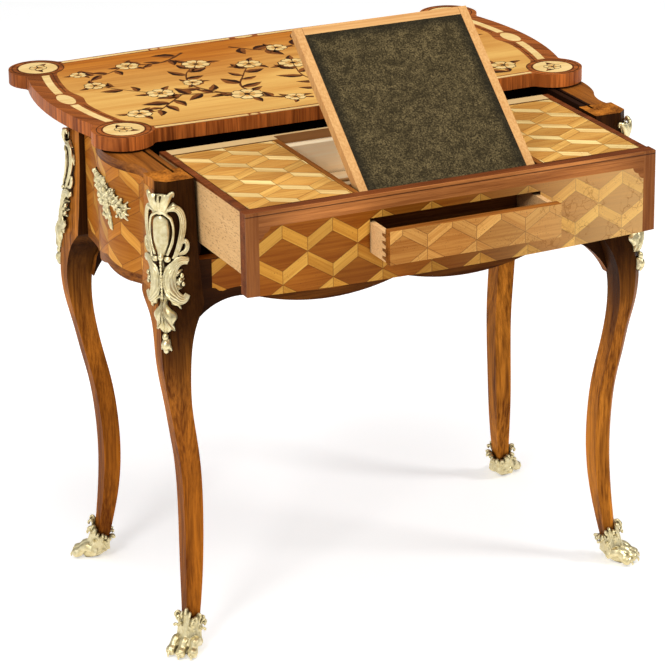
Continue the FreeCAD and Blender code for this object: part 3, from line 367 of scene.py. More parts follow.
specks = noise(blocks, came["Vector"], 520.0, 2.0, 0.6)
clouds = noise(blocks, came["Vector"], 55.0, 2.0, 0.5)
burr = times(blocks, times(blocks, ease(blocks, specks, 0.58, 0.7), ease(blocks, clouds, 0.42, 0.6)),
             came["Burr"])
burred = blend(blocks, burr, veined["Color"], colour(92, 50, 20))
lozenge_line = calc(blocks, "MINIMUM", calc(blocks, "ABSOLUTE", even_gap), calc(blocks, "ABSOLUTE", odd_gap))
column_edge = times(blocks, calc(blocks, "MINIMUM", away, minus(blocks, 1.0, away)), LOZENGE_WIDE / 2)
column_line = plus(blocks, column_edge, is_lozenge)
line = ease(blocks, calc(blocks, "MINIMUM", lozenge_line, column_line), GLUE * 0.6, GLUE * 1.8, 1.0, 0.0)
glued = blend(blocks, times(blocks, line, GLUE_DARK), burred, colour(82, 42, 18))
blocks.links.new(glued, went["Color"])
blocks.links.new(minus(blocks, times(blocks, veined["Height"], 0.4), line), went["Height"])
print("group:", blocks.name, "with", len(blocks.nodes), "nodes")

# %% [markdown]
# A board's fibres run along its longest side. So each wood is made three times at most, once for each
# direction, by handing the grain group the coordinates in another order.

# %% Woods
FIBRES = {"X": "xyz", "Y": "yxz", "Z": "zxy"}
WOODS = {
    "mahogany": dict(light=(164, 98, 36), dark=(74, 34, 9), figure=0.55, pores=0.7, roughness=0.4),
    "red_mahogany": dict(light=(140, 74, 34), dark=(76, 34, 14), figure=0.5, pores=0.6, roughness=0.38),
    "pale_oak": dict(light=(222, 180, 126), dark=(206, 160, 106), figure=0.35, pores=0.3, roughness=0.6,
                     flecks=0.55),
    "brown_oak": dict(light=(150, 98, 50), dark=(92, 54, 24), figure=0.5, pores=0.8, roughness=0.55),
    # Near-black oak for parts that sit in deep shade: painted shade.
    "shade_dark_oak": dict(light=(44, 22, 10), dark=(22, 10, 5), figure=0.5, pores=0.5, roughness=0.6),
    "cream_board": dict(light=(240, 216, 174), dark=(226, 194, 146), figure=0.7, pores=0.1, roughness=0.6),
    "beech": dict(light=(216, 168, 108), dark=(190, 136, 80), figure=0.3, pores=0.5, roughness=0.45),
}
made_woods = {}


def ordered(tree, fibres):
    """Object coordinates in an order that puts the fibres first."""
    parts = dict(zip("xyz", split(tree, own_place(tree))))
    return node(tree, "CombineXYZ", *(parts[a] for a in FIBRES[fibres]))


def grained(tree, fibre, kind):
    """The grain group in the tones of a wood."""
    return place_group(tree, grain, Vector=fibre, Light=colour(*kind["light"]), Dark=colour(*kind["dark"]),
                       Figure=kind["figure"], Pores=kind["pores"])


def wood_of(name, fibres):
    """A wood whose fibres run along X, Y or Z."""
    if (name, fibres) not in made_woods:
        kind = WOODS[name]
        made, tree, shader = start_material(f"{name}_{fibres.lower()}", kind["roughness"])
        out = grained(tree, ordered(tree, fibres), kind)
        dashes = noise(tree, stretched(tree, ordered(tree, fibres), 150, 640), 1.0, 2.0, 0.5)
        flecks = ease(tree, dashes, 0.55, 0.68, 0.0, kind.get("flecks", 0.0))
        base = blend(tree, flecks, out["Color"], colour(128, 80, 42))
        dress(tree, shader, seam_shaded(tree, base), out["Height"], GRAIN_DEPTH)
        made_woods[name, fibres] = made
    return made_woods[name, fibres]


def longest(name):
    """The axis along which a board is longest."""
    low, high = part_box(name)
    spans = high - low
    return "XYZ"[max(range(3), key=lambda i: spans[i])]


def finish(name, material):
    """Gives a CAD node a material in place of its own."""
    mesh = boards[name].data
    mesh.materials.clear()
    mesh.materials.append(material)


MADE_OF = {
    "mahogany": ["left_side_rail", "right_side_rail", "top_runners", "left_guide_board", "left_divider",
                 "right_divider"],
    "red_mahogany": ["side_cappings", "drawer_lugs", "ratchet_strips"],
    "pale_oak": ["drawer_left_side", "drawer_right_side", "drawer_bottom", "lid_rests",
                 "small_drawer_sides"],
    # The runners, the dust board and the right guide board sit in deep shade in gaps of the carcass, painted
    # near black.
    "shade_dark_oak": ["right_guide_board", "drawer_runners", "dust_board"],
    "cream_board": ["well_floor"],
    # The small drawer's back and bottom take the darker brown oak: painted shade for its dark inside.
    "brown_oak": ["small_drawer_back", "small_drawer_bottom", "drawer_housing_top", "drawer_housing_back",
                  "drawer_housing_floor"],
    "beech": ["slope_panel", "slope_prop", "prop_foot", "prop_lugs"],
}
for wood_name, names in MADE_OF.items():
    for name in names:
        finish(name, wood_of(wood_name, longest(name)))
print("woods made:", sorted(m.name for m in made_woods.values()))

# %% [markdown]
# The fronts of the posts beside the drawer and the inner faces of the knees are painted nearly black:
# painted shade, with some darker wood, where the open drawer shades them. Masks from the surface normal
# and the height lay that darkening over the same mahogany. The rails between the posts get painted shade
# near the legs and on the inside.

# %% Legs and rails
def looks_along(tree, axis, sign):
    """The surface normal's share along an axis."""
    normal = split(tree, tree.nodes.new("ShaderNodeNewGeometry").outputs["True Normal"])
    return times(tree, normal["XYZ".index(axis)], sign)


def toward(tree, axis, sign):
    """How far the surface looks along an axis, as a mask."""
    return ease(tree, looks_along(tree, axis, sign), 0.3, 0.75)


# Near black for painted shade on the legs and rails.
SHADE_DARK = colour(30, 13, 5)
UPPER_LEG = (212, 130, 46)


def leg_wood(name, inward, low_tone, high_tone):
    """Mahogany for a leg, darker on its upper end, with painted shade on its post's front and inside its
    knee.
    """
    made, tree, shader = start_material(name, 0.4, specular=0.2)
    x, y, z = split(tree, own_place(tree))
    tone = blend(tree, ease(tree, z, 0.25, 0.5), colour(*low_tone), colour(*high_tone))
    out = place_group(tree, grain, Vector=ordered(tree, "Z"), Light=tone, Dark=colour(84, 38, 7),
                      Figure=0.55, Pores=0.7)
    # Painted shade: the post's front and the inner face of the knee go near black high up the leg, for the
    # drawer's shadow.
    front = times(tree, toward(tree, "Y", -1), ease(tree, z, 0.34, 0.52, 0.0, 0.95))
    knee = times(tree, toward(tree, "X", inward), ease(tree, z, 0.30, 0.50, 0.0, 0.95))
    above = times(tree, toward(tree, "Z", 1), 0.05)
    tone_share = calc(tree, "MAXIMUM", above, calc(tree, "MAXIMUM", front, knee))
    dress(tree, shader, seam_shaded(tree, blend(tree, tone_share, out["Color"], SHADE_DARK)), out["Height"], GRAIN_DEPTH)
    return made


# The left legs get a darker lower tone than the right ones: painted shade that offsets the brighter light on
# the left.
for side, inward, low_tone in (("left", 1, (176, 102, 28)), ("right", -1, (216, 134, 44))):
    wood = leg_wood(f"{side}_leg_mahogany", inward, low_tone, UPPER_LEG)
    for end in ("front", "back"):
        finish(f"{end}_{side}_leg", wood)

rail_wood, tree, shader = start_material("rail_mahogany", 0.4, specular=0.2)
x, y, z = split(tree, own_place(tree))
out = grained(tree, ordered(tree, "X"), WOODS["mahogany"])
# Painted shade: the rails' front faces go most of the way to near black, almost fully near the legs, for the
# drawer front's shadow;
near_leg = times(tree, toward(tree, "Y", -1), ease(tree, calc(tree, "ABSOLUTE", x), 0.20, 0.25, 0.55, 0.93))
# the back rail's inner face is painted dark too.
inside = times(tree, calc(tree, "GREATER_THAN", y, 0.0), toward(tree, "Y", -1))
dress(tree, shader, seam_shaded(tree, blend(tree, calc(tree, "MAXIMUM", near_leg, inside), out["Color"], SHADE_DARK)),
      out["Height"], GRAIN_DEPTH)
finish("front_apron", rail_wood)
finish("back_rail", rail_wood)
print("legs finished: 4, rails: 2")

# %% [markdown]
# The board at the back of the drawer is a pale cream, painted lighter than its wood so that it stays pale
# in the drawer's shade. It is browner on its upper edge, and the upright wall of the rebate that takes the
# slope when it lies down is painted darker as shade. Both places are found by height, so one material does.

# %% Back of the drawer
# Painted light: the cream is lighter than the wood, to stay pale in the drawer's shade.
BRIGHTENED_CREAM = dict(light=(255, 240, 206), dark=(255, 226, 178), figure=0.6, pores=0.15)
REBATE_DEPTH, EDGE_DEPTH = 0.0138, 0.0004

cream, tree, shader = start_material("cream_back", 0.6)
x, y, z = split(tree, own_place(tree))
out = grained(tree, ordered(tree, "X"), BRIGHTENED_CREAM)
back_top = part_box("drawer_back")[1].z
below_edge = calc(tree, "GREATER_THAN", z, back_top - REBATE_DEPTH)
in_rebate = times(tree, toward(tree, "Y", -1), below_edge)
on_edge = calc(tree, "GREATER_THAN", z, back_top - EDGE_DEPTH)
topped = blend(tree, on_edge, out["Color"], colour(214, 180, 126))
# Painted shade on the rebate's upright wall.
rebate_shade = blend(tree, in_rebate, topped, colour(150, 106, 64))
dress(tree, shader, seam_shaded(tree, rebate_shade, most=0.6), out["Height"], FINE_DEPTH)
finish("drawer_back", cream)
print("upper edge of the drawer's back:", round(back_top, 4))

# %% [markdown]
# The frame round the drawer front is cut from straight strips, with the fibres along the rails and up
# the stiles. A mask finds the stiles and turns the grain there, so the whole frame is one material. The
# groove under the upper edge is a dark line of painted shade in the colour and a dip in the height.

# %% Frame of the drawer front
FRAME_TONES = dict(light=(208, 134, 72), dark=(138, 78, 36), figure=0.45, pores=0.6)
STILE_WIDE, GROOVE_DOWN = 0.019, 0.0048

frame_wood, tree, shader = start_material("front_frame", 0.36)
x, y, z = split(tree, own_place(tree))
frame_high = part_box("front_banding")[1]
off_middle = calc(tree, "ABSOLUTE", x)
on_stile = calc(tree, "GREATER_THAN", off_middle, frame_high.x - STILE_WIDE)
fibre = blend(tree, on_stile, node(tree, "CombineXYZ", x, z, y), node(tree, "CombineXYZ", z, x, y))
out = grained(tree, fibre, FRAME_TONES)
ends = ease(tree, off_middle, 0.20, frame_high.x - 0.004, 0.0, 0.62)
shaded_ends = blend(tree, ends, out["Color"], colour(74, 31, 11))
below = minus(tree, frame_high.z, z)
off_groove = calc(tree, "ABSOLUTE", minus(tree, below, GROOVE_DOWN))
# Painted shade: a dark line where the groove runs.
groove = ease(tree, off_groove, 0.0004, 0.0012, 0.75, 0.0)
dress(tree, shader, seam_shaded(tree, blend(tree, groove, shaded_ends, colour(44, 18, 8))),
      minus(tree, out["Height"], times(tree, groove, 3.0)), 0.0005)
finish("front_banding", frame_wood)
print("frame ends at", round(frame_high.x, 4), "its stiles are", STILE_WIDE, "wide")

# %% [markdown]
# A veneered front shows its pattern only on the face; its edges and its inside are solid wood. One
# mask from the surface normal keeps the two apart, so the CAD board needs no second material slot.

# %% Veneered boards
def veneered(name, plane, facing, tones, edge_wood, shift=(0, 0), burr=0.5, gradient_share=0.0):
    """A board with blocks on the face that looks along an axis, and plain wood elsewhere.

    Towards the right the face may be more burred, with fine veins, and paler by a share, gradient_share:
    a painted sheen. The same share also raises the burr.
    """
    made, tree, shader = start_material(name, 0.4)
    place = own_place(tree)
    parts = dict(zip("xyz", split(tree, place)))
    flat = node(tree, "CombineXYZ", minus(tree, parts[plane[0]], shift[0]),
                minus(tree, parts[plane[1]], shift[1]), 0.0)
    lozenge, rising, falling = (colour(*t) for t in tones)
    face = place_group(tree, blocks, Vector=flat, Lozenge=lozenge, Rising=rising, Falling=falling,
                       Burr=ease(tree, parts["x"], -0.05, 0.25, burr, burr + 2.0 * gradient_share))
    kind = WOODS[edge_wood]
    edge = place_group(tree, grain, Vector=ordered(tree, "X"), Light=colour(*kind["light"]),
                       Dark=colour(*kind["dark"]))
    shows = calc(tree, "GREATER_THAN", looks_along(tree, *facing), 0.7)
    # Painted sheen: the face turns paler towards the right, as a glossy reflection would show.
    painted_sheen = ease(tree, parts["x"], -0.05, 0.32, 0.0, gradient_share)
    sheened = blend(tree, painted_sheen, face["Color"], colour(255, 216, 146))
    bent = blend(tree, 0.02, place, noise(tree, place, 60.0, 3.0, 0.6, out=1), "ADD")
    cells = node(tree, "TexVoronoi", bent, None, 75.0, feature="DISTANCE_TO_EDGE")
    vein = ease(tree, cells, 0.01, 0.06, 1.0, 0.0)
    patch = ease(tree, noise(tree, place, 28.0, 2.0, 0.5), 0.46, 0.62)
    burred = ease(tree, parts["x"], -0.1, 0.2, 0.15 * burr, burr)
    veins = times(tree, times(tree, vein, patch), times(tree, burred, 0.8))
    veined_face = blend(tree, veins, sheened, colour(124, 74, 28))
    dress(tree, shader, seam_shaded(tree, blend(tree, shows, edge["Color"], veined_face)),
          blend(tree, shows, edge["Height"], face["Height"]), BLOCK_DEPTH)
    return made


FRONT_TONES = ((152, 90, 26), (216, 164, 74), (202, 146, 58))
LID_TONES = ((220, 166, 84), (234, 184, 98), (254, 226, 154))
SMALL_FRONT_TONES = ((182, 126, 60), (212, 160, 86), (198, 144, 74))
FRONT_SHIFT, LID_SHIFT = (LOZENGE_WIDE / 2, 0.640), (LOZENGE_WIDE / 2, -0.069)
front_blocks = veneered("front_blocks", "xz", ("Y", -1), FRONT_TONES, "red_mahogany", FRONT_SHIFT, 0.6, 0.34)
small_blocks = veneered("small_front_blocks", "xz", ("Y", -1), SMALL_FRONT_TONES, "mahogany",
                        FRONT_SHIFT, 0.9, 0.4)
lid_blocks = veneered("lid_blocks", "xy", ("Z", 1), LID_TONES, "red_mahogany", LID_SHIFT, 0.25)
finish("drawer_front", front_blocks)
finish("small_drawer_front", small_blocks)
finish("left_lid", lid_blocks)
finish("right_lid", lid_blocks)
print("veneered boards: 4")

# %% [markdown]
# Screws and pivots are plain brass, dulled by handling. Little of them shows, so a single noise serves
# both as the stains in their colour and as the scuffs in their surface.

# %% Brass pins
BRASS_PIECES = ("runner_screws", "lid_pins", "slope_pins", "prop_pins")

brass, tree, shader = start_material("pin_brass", 0.3)
shader.inputs["Metallic"].default_value = 1.0
scuffs = noise(tree, own_place(tree), 900.0, 3.0, 0.6)
dress(tree, shader, blend(tree, ease(tree, scuffs, 0.35, 0.7), colour(178, 140, 70), colour(228, 200, 130)),
      scuffs, 0.0001)
for name in BRASS_PIECES:
    finish(name, brass)
print("in brass:", *BRASS_PIECES)

# %% [markdown]
# The leather is an old olive hide: mottled by handling, with a fine pebble, and darker along the edge
# where it is glued under the frame. The distance to the edge is measured in the slope's own plane. At
# the lower end the hide laps over the rail, so the beech frame's material turns to hide there.

# %% Leather
DARK_HIDE = colour(26, 23, 15)
RIM_NEAR, RIM_FAR, RIM_DARK = 0.002, 0.022, 0.75
LAP, LAP_FADE = 0.004, 0.026
leather_low, leather_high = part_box("slope_leather")
LEATHER_MIDDLE = (leather_low + leather_high) / 2
UPWARDS = (leather_high.yz - leather_low.yz).normalized()
half_wide = (leather_high.x - leather_low.x) / 2
half_long = (leather_high.yz - leather_low.yz).length / 2


def hide(tree, place):
    """The colour and the height of the worn, pebbled leather."""
    mottle = noise(tree, place, 70.0, 7.0, 0.8)
    flecks = noise(tree, place, 420.0, 3.0, 0.6)
    pebble = node(tree, "TexVoronoi", place, None, 520.0, feature="SMOOTH_F1")
    tone_share = plus(tree, times(tree, mottle, 0.62), times(tree, flecks, 0.38))
    toned = blend(tree, ease(tree, tone_share, 0.40, 0.62), colour(50, 42, 23), colour(116, 100, 66))
    speckled = blend(tree, ease(tree, pebble, 0.15, 0.75), toned, colour(44, 36, 20))
    return speckled, plus(tree, mottle, times(tree, pebble, -0.6))


def on_slope(tree, place):
    """For a place: its X, Y and Z, how far it is up the slope, and how far in from the leather's side."""
    x, y, z = split(tree, place)
    up_y = times(tree, minus(tree, y, LEATHER_MIDDLE.y), UPWARDS.x)
    up_z = times(tree, minus(tree, z, LEATHER_MIDDLE.z), UPWARDS.y)
    from_side = minus(tree, half_wide, calc(tree, "ABSOLUTE", x))
    return x, y, z, plus(tree, up_y, up_z), from_side


leather, tree, shader = start_material("slope_leather", 0.62)
place = own_place(tree)
speckled, pebbles = hide(tree, place)
x, y, z, up_slope, from_side = on_slope(tree, place)
from_end = minus(tree, half_long, up_slope)
rim = ease(tree, calc(tree, "MINIMUM", from_side, from_end), RIM_NEAR, RIM_FAR, 1.0, 0.0)
rimmed = blend(tree, times(tree, rim, RIM_DARK), speckled, DARK_HIDE)
dress(tree, shader, rimmed, pebbles, 0.0006)
finish("slope_leather", leather)

stile, tree, shader = start_material("slope_beech", 0.45)
place = own_place(tree)
x, y, z, up_slope, from_side = on_slope(tree, place)
is_stile = calc(tree, "LESS_THAN", from_side, 0.0)
fibre = blend(tree, is_stile, node(tree, "CombineXYZ", x, up_slope, z),
              node(tree, "CombineXYZ", up_slope, x, y))
out = grained(tree, fibre, WOODS["beech"])
joint = ease(tree, calc(tree, "ABSOLUTE", from_side), 0.0002, 0.0007, 0.6, 0.0)
jointed = seam_shaded(tree, blend(tree, joint, out["Color"], colour(120, 70, 34)))
speckled, _ = hide(tree, place)
side_rim = ease(tree, from_side, RIM_NEAR, RIM_FAR, 1.0, 0.0)
lap_rim = ease(tree, up_slope, -LAP_FADE - half_long, LAP - half_long, 1.0, 0.0)
rim = calc(tree, "MAXIMUM", side_rim, lap_rim)
in_width = calc(tree, "GREATER_THAN", from_side, 0.0)
lapped = times(tree, calc(tree, "LESS_THAN", up_slope, LAP - half_long), in_width)
covered = times(tree, lapped, calc(tree, "GREATER_THAN", toward(tree, "Z", 1), 0.5))
worn_hide = blend(tree, times(tree, rim, RIM_DARK), speckled, DARK_HIDE)
dress(tree, shader, blend(tree, covered, jointed, worn_hide), out["Height"], FINE_DEPTH)
finish("slope_frame", stile)
print("leather measured:", round(2 * half_wide, 3), "by", round(2 * half_long, 3), "m")

# %% [markdown]
# The edge of the top is banded with short blocks of veneer whose fibres run across the edge. Each block
# has a tone of its own, and a dark seam parts it from the next. The blocks are counted along the sum of X
# and Y, which changes along every edge, so no edge needs a pattern of its own.

# %% Cross-banding of the top
BLOCK = 0.046
BANDING_TONES = dict(light=(196, 110, 48), dark=(90, 41, 15), figure=0.5, pores=0.6)

banding, tree, shader = start_material("cross_banding", 0.38)
x, y, z = split(tree, own_place(tree))
run = calc(tree, "DIVIDE", plus(tree, x, y), BLOCK)
number = calc(tree, "FLOOR", run)
chance = node(tree, "TexWhiteNoise", None, number, noise_dimensions="1D")
fibre = node(tree, "CombineXYZ", z, plus(tree, x, y), times(tree, chance, 5.0))
out = grained(tree, fibre, BANDING_TONES)
# Painted light: the upright edge faces are made lighter than the top faces, since the lamps light the front
# edge less.
painted_edge_light = ease(tree, toward(tree, "Z", 1), 0.0, 1.0, 1.04, 0.76)
shade = plus(tree, times(tree, chance, 0.4), painted_edge_light)
toned = blend(tree, 1.0, out["Color"], node(tree, "CombineXYZ", shade, shade, shade), "MULTIPLY")
seam = ease(tree, calc(tree, "ABSOLUTE", minus(tree, calc(tree, "FRACT", run), 0.5)), 0.488, 0.497)
seamed = blend(tree, times(tree, seam, 0.6), toned, colour(48, 20, 9))
dress(tree, shader, seamed, out["Height"], GRAIN_DEPTH)
finish("top_edge_band", banding)
finish("top_panel", banding)
print("cross-banding blocks of", BLOCK, "m")

# %% [markdown]
# The small drawer's sides are dovetailed into its front. Seen from the side, the front's end grain shows
# as dark wedges between the pale tails. Each wedge is a thin block whose corners are moved, so that it
# narrows towards one end.

# %% Dovetails of the small drawer
PINS = 4
PIN_THICK, PIN_LONG, PIN_WIDE, PIN_TAPER, PIN_SUNK = 0.0002, 0.011, 0.0064, 0.003, 0.001
side_low, side_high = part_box("small_drawer_sides")
front_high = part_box("small_drawer_front")[1]
wedges = []
for side_x in (side_low.x, side_high.x):
    for k in range(PINS):
        rise = side_low.z + (side_high.z - side_low.z) * (k + 0.5) / PINS
        deselect()
        bpy.ops.mesh.primitive_cube_add(size=1)
        wedge = bpy.context.object
        for vertex in wedge.data.vertices:
            deep = vertex.co.y + 0.5
            vertex.co = (side_x + vertex.co.x * PIN_THICK, front_high.y - PIN_SUNK + PIN_LONG * deep,
                         rise + vertex.co.z * (PIN_WIDE - PIN_TAPER * deep))
        wedges.append(wedge)
pick(*wedges)
bpy.ops.object.join()
dovetails = bpy.context.object
dovetails.name = "small_drawer_dovetails"
dovetails.data.materials.append(wood_of("brown_oak", "X"))
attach(dovetails, "small_drawer")
print("dovetail pins:", 2 * PINS, "on sides at", round(side_low.x, 4), round(side_high.x, 4))

# %% [markdown]
# Cast bronze is polished high up and stays dark in the hollows, where the gilder's brush and later the
# duster never reach. Ambient occlusion finds those hollows on any casting, so one material serves the
# corner mounts, the side sprays and the paws.

# %% Gilt bronze
gilt, tree, shader = start_material("gilt_bronze", 0.34)
shader.inputs["Metallic"].default_value = 0.85
place = own_place(tree)
open_air = node(tree, "AmbientOcclusion", (1, 1, 1, 1), 0.0045, out=1, samples=6)
stain = noise(tree, place, 160.0, 4.0, 0.6)
chasing = noise(tree, place, 1100.0, 3.0, 0.6)
bright = blend(tree, ease(tree, stain, 0.30, 0.72), colour(214, 197, 146), colour(234, 222, 180))
hollow = ease(tree, plus(tree, open_air, times(tree, stain, 0.10)), 0.55, 1.0, 1.0, 0.0)
rubbed = ease(tree, split(tree, place)[2], 0.08, 0.14, 0.72, 1.0)
gilded = blend(tree, times(tree, hollow, rubbed), bright, colour(52, 36, 13))
dress(tree, shader, gilded, chasing, 0.0001)
tree.links.new(ease(tree, open_air, 0.4, 0.9, 0.6, 0.32), shader.inputs["Roughness"])
print("gilding ready")

# %% [markdown]
# The castings are modelled flat, as a carver would cut the wax on a board: X runs across the mount, Y
# up it, and Z stands for the relief. Stems and scrolls are NURBS paths with a round section that swells
# and tapers; leaves are a grid pushed into a ribbed blade. A voxel remesh melts them into one skin, as
# wax runs together, and the flat wax is then bent round its corner. Its numbers are millimetres.

# %% Tools for the wax
def stem(points):
    """A tapering round stem through points (across, up, out, radius) in millimetres."""
    deselect()
    bpy.ops.curve.primitive_nurbs_path_add()
    path = bpy.context.object
    path.data.splines.clear()
    spline = path.data.splines.new("NURBS")
    spline.points.add(len(points) - 1)
    for point, (across, rise, out, radius) in zip(spline.points, points):
        point.co = (across * MM, rise * MM, out * MM, 1)
        point.radius = radius
    spline.order_u = 3
    spline.use_endpoint_u = True
    spline.resolution_u = 5
    path.data.bevel_depth = MM
    path.data.bevel_resolution = 2
    path.data.use_fill_caps = True
    bpy.ops.object.convert(target="MESH")
    return bpy.context.object


def ribs(path, offsets, radius, out):
    """Parallel stems beside a path of (across, up), for a ribbed scroll that thins at both ends."""
    made = []
    last = len(path) - 1
    for offset in offsets:
        points = []
        for i, (across, rise) in enumerate(path):
            before, after = path[max(i - 1, 0)], path[min(i + 1, last)]
            run = Vector((after[0] - before[0], after[1] - before[1])).normalized()
            thin = 0.55 + 0.45 * math.sin(math.pi * i / last)
            points.append((across - run.y * offset * thin, rise + run.x * offset * thin,
                           out - 0.12 * abs(offset), radius * thin))
        made.append(stem(points))
    return made


def thicken(made, thickness):
    """Gives the active sheet a wall behind its face, in millimetres."""
    wall = made.modifiers.new("wall", "SOLIDIFY")
    wall.thickness = thickness * MM
    wall.offset = -1
    bpy.ops.object.modifier_apply(modifier="wall")


LEAF_WALL, PANEL_WALL = 1.6, 2.0


def blade(base, tip, wide, out, lobes, bow=0.0, swell=0.9):
    """A ribbed leaf from base to tip, both (across, up), with lobed edges and a raised middle."""
    deselect()
    bpy.ops.mesh.primitive_grid_add(x_subdivisions=18, y_subdivisions=8, size=2)
    leaf = bpy.context.object
    start, run = Vector(base), Vector(tip) - Vector(base)
    beside = Vector((-run.y, run.x)).normalized()
    for vertex in leaf.data.vertices:
        t, w = (vertex.co.x + 1) / 2, vertex.co.y
        lobed = 1 + 0.2 * math.cos(2 * math.pi * lobes * t)
        half = wide / 2 * math.sin(math.pi * min(1, 0.12 + 0.88 * t) ** swell) * lobed
        spot = start + run * t + beside * (w * half + bow * math.sin(math.pi * t))
        crown = out * (1 - 0.75 * w * w) * (0.45 + 0.55 * math.sin(math.pi * min(1, 0.15 + 0.85 * t)))
        groove = 0.16 * out * math.cos(3 * math.pi * w)
        vertex.co = (spot.x * MM, spot.y * MM, (crown + groove) * MM)
    thicken(leaf, LEAF_WALL)
    return leaf


def panel(low, high, half_low, half_high, out, swell=0.0):
    """A smooth convex panel between two heights, with a round upper end."""
    deselect()
    bpy.ops.mesh.primitive_grid_add(x_subdivisions=12, y_subdivisions=24, size=2)
    made = bpy.context.object
    for vertex in made.data.vertices:
        w, t = vertex.co.x, (vertex.co.y + 1) / 2
        shoulder = math.sqrt(max(0.02, 1 - max(0, (t - 0.84) / 0.16) ** 2))
        half = (half_low + (half_high - half_low) * t + swell * math.sin(math.pi * t)) * shoulder
        crown = out * math.sqrt(1.05 - w * w) * shoulder ** 0.5
        vertex.co = (w * half * MM, (low + (high - low) * t) * MM, crown * MM)
    thicken(made, PANEL_WALL)
    return made


def bead(across, rise, out, radius):
    """A small cast bead, flattened a little towards its base."""
    deselect()
    bpy.ops.mesh.primitive_uv_sphere_add(segments=12, ring_count=8, radius=radius * MM,
                                         location=(across * MM, rise * MM, out * MM))
    bpy.ops.object.mode_set(mode="EDIT")
    bpy.ops.transform.resize(value=(1, 1.1, 0.85))
    bpy.ops.object.mode_set(mode="OBJECT")
    bpy.ops.object.transform_apply(location=True, rotation=True, scale=True)
    return bpy.context.object


def one_casting(parts, name, fineness=0.6, keep=0.35):
    """Joins the pieces of a wax, melts them into one skin, softens it and thins its mesh."""
    pick(*parts)
    bpy.ops.object.join()
    made = bpy.context.object
    made.name = name
    bpy.ops.object.mode_set(mode="EDIT")
    bpy.ops.mesh.select_all(action="SELECT")
    bpy.ops.mesh.normals_make_consistent(inside=False)
    bpy.ops.object.mode_set(mode="OBJECT")
    skin = made.modifiers.new("skin", "REMESH")
    skin.mode = "VOXEL"
    skin.voxel_size = fineness * MM
    soft = made.modifiers.new("soft", "SMOOTH")
    soft.factor = 0.5
    soft.iterations = 1
    made.modifiers.new("thin", "DECIMATE").ratio = keep
    for step in ("skin", "soft", "thin"):
        bpy.ops.object.modifier_apply(modifier=step)
    return made


def bent_copy(master, name, where, flipped):
    """A copy of a flat wax with its own mesh, each point moved by a rule."""
    made = master.copy()
    made.data = master.data.copy()
    made.name = made.data.name = name
    bpy.context.scene.collection.objects.link(made)
    for vertex in made.data.vertices:
        vertex.co = where(vertex.co / MM)
    if flipped:
        made.data.flip_normals()
    pick(made)
    bpy.ops.object.shade_smooth()
    made.data.materials.clear()
    made.data.materials.append(gilt)
    return made


print("tools ready")

# %% [markdown]
# The corner mount, from the top: a fluted crest with two curls, a long shaft between open straps, a
# knot, a pair of big C-scrolls about a string of beads, a leaf drop and a hanging bud.

# %% The wax of a corner mount
def both(points):
    """A stem and its mirror image."""
    return [stem([(side * a, r, o, w) for a, r, o, w in points]) for side in (1, -1)]


wax = [panel(200, 228, 8, 15, 4.5),
       stem([(0, 203, 5, 3.2), (0, 214, 8, 3.5), (0, 223, 9, 3.2), (0, 227, 8, 2.4)])]
wax += both([(2.6, 203, 5, 3.0), (4.6, 214, 8, 3.4), (8, 224, 9, 3.4), (9.5, 229.5, 8, 2.6)])
wax += both([(5, 202, 4, 3.0), (8.5, 212, 7, 3.4), (11.5, 222, 8.5, 3.2), (14, 229, 8, 3.0),
             (17.5, 231, 7, 2.6), (19.5, 227.5, 6, 2.2), (17.5, 224.5, 5.5, 1.8)])
wax.append(stem([(-10, 203, 4, 2.4), (0, 200.5, 8.5, 3.6), (10, 203, 4, 2.4)]))
for side in (1, -1):
    strap = [(8, 206), (18, 208.5), (28, 204.5), (34, 194), (35, 179), (31, 163), (24.5, 147), (17, 134)]
    wax += ribs([(side * a, r) for a, r in strap], (-4.6, -1.5, 1.6, 4.6), 1.6, 5.6)
    wax.append(blade((side * 7, 205), (side * 34, 205), 12, 7, 2, side * 3))
    wax.append(blade((side * 33, 196), (side * 40, 178), 9, 6, 1, side * 2))
    curl = [(25, 140), (34.5, 140), (41, 146), (41.5, 155), (37, 159), (33.5, 155)]
    wax += ribs([(side * a, r) for a, r in curl], (-1.9, 1.9), 2.4, 4.4)
    scroll = [(41, 129), (31, 133), (18, 127), (10.5, 114), (9.5, 99), (14, 86), (24, 77), (34, 76),
              (38, 83)]
    wax += ribs([(side * a, r) for a, r in scroll], (-7.2, -3.6, 0, 3.6, 7.2), 1.9, 7.2)
    wax.append(bead(side * 40, 131, 4, 4.2))
    wax.append(blade((side * 14, 107), (side * 33, 117), 12, 7, 2, side * 2))
    wax.append(blade((side * 14, 102), (side * 36, 104), 12, 7.5, 2, side * -1))
    wax.append(blade((side * 15, 97), (side * 32, 91), 11, 6.5, 2))
    wax += [bead(side * 29, 110, 6.5, 3.6), bead(side * 31, 98, 6, 3.2), bead(side * 25, 104, 7, 3.4)]
    wax.append(blade((side * 6, 84), (side * 29, 62), 15, 7, 2, side * 3))
    wax.append(blade((side * 3, 78), (side * 14, 33), 16, 10, 2, side * -5, 1.4))
    wax.append(blade((side * 2, 21), (side * 8.5, 4), 10, 8.5, 1, side * -1.5))
wax += both([(13.6, 195, 5.5, 1.7), (16.6, 186, 6.4, 1.8), (17.4, 172, 6.4, 1.8), (14.6, 156, 6, 1.8),
             (9, 141, 6, 1.7)])
wax.append(stem([(-13.6, 194, 5.5, 1.9), (-7, 203.5, 7, 2.2), (7, 203.5, 7, 2.2), (13.6, 194, 5.5, 1.9)]))
wax.append(panel(140, 199.5, 7.2, 10.2, 9, 5.2))
wax += [bead(0, 138, 7, 5.4), bead(-9, 135, 6, 4.0), bead(9, 135, 6, 4.0)]
wax.append(blade((0, 70), (0, 136), 18, 7, 1))
for i in range(11):
    wax.append(bead(0, 131 - 5 * i, 8.6 - 0.1 * i, 2.5))
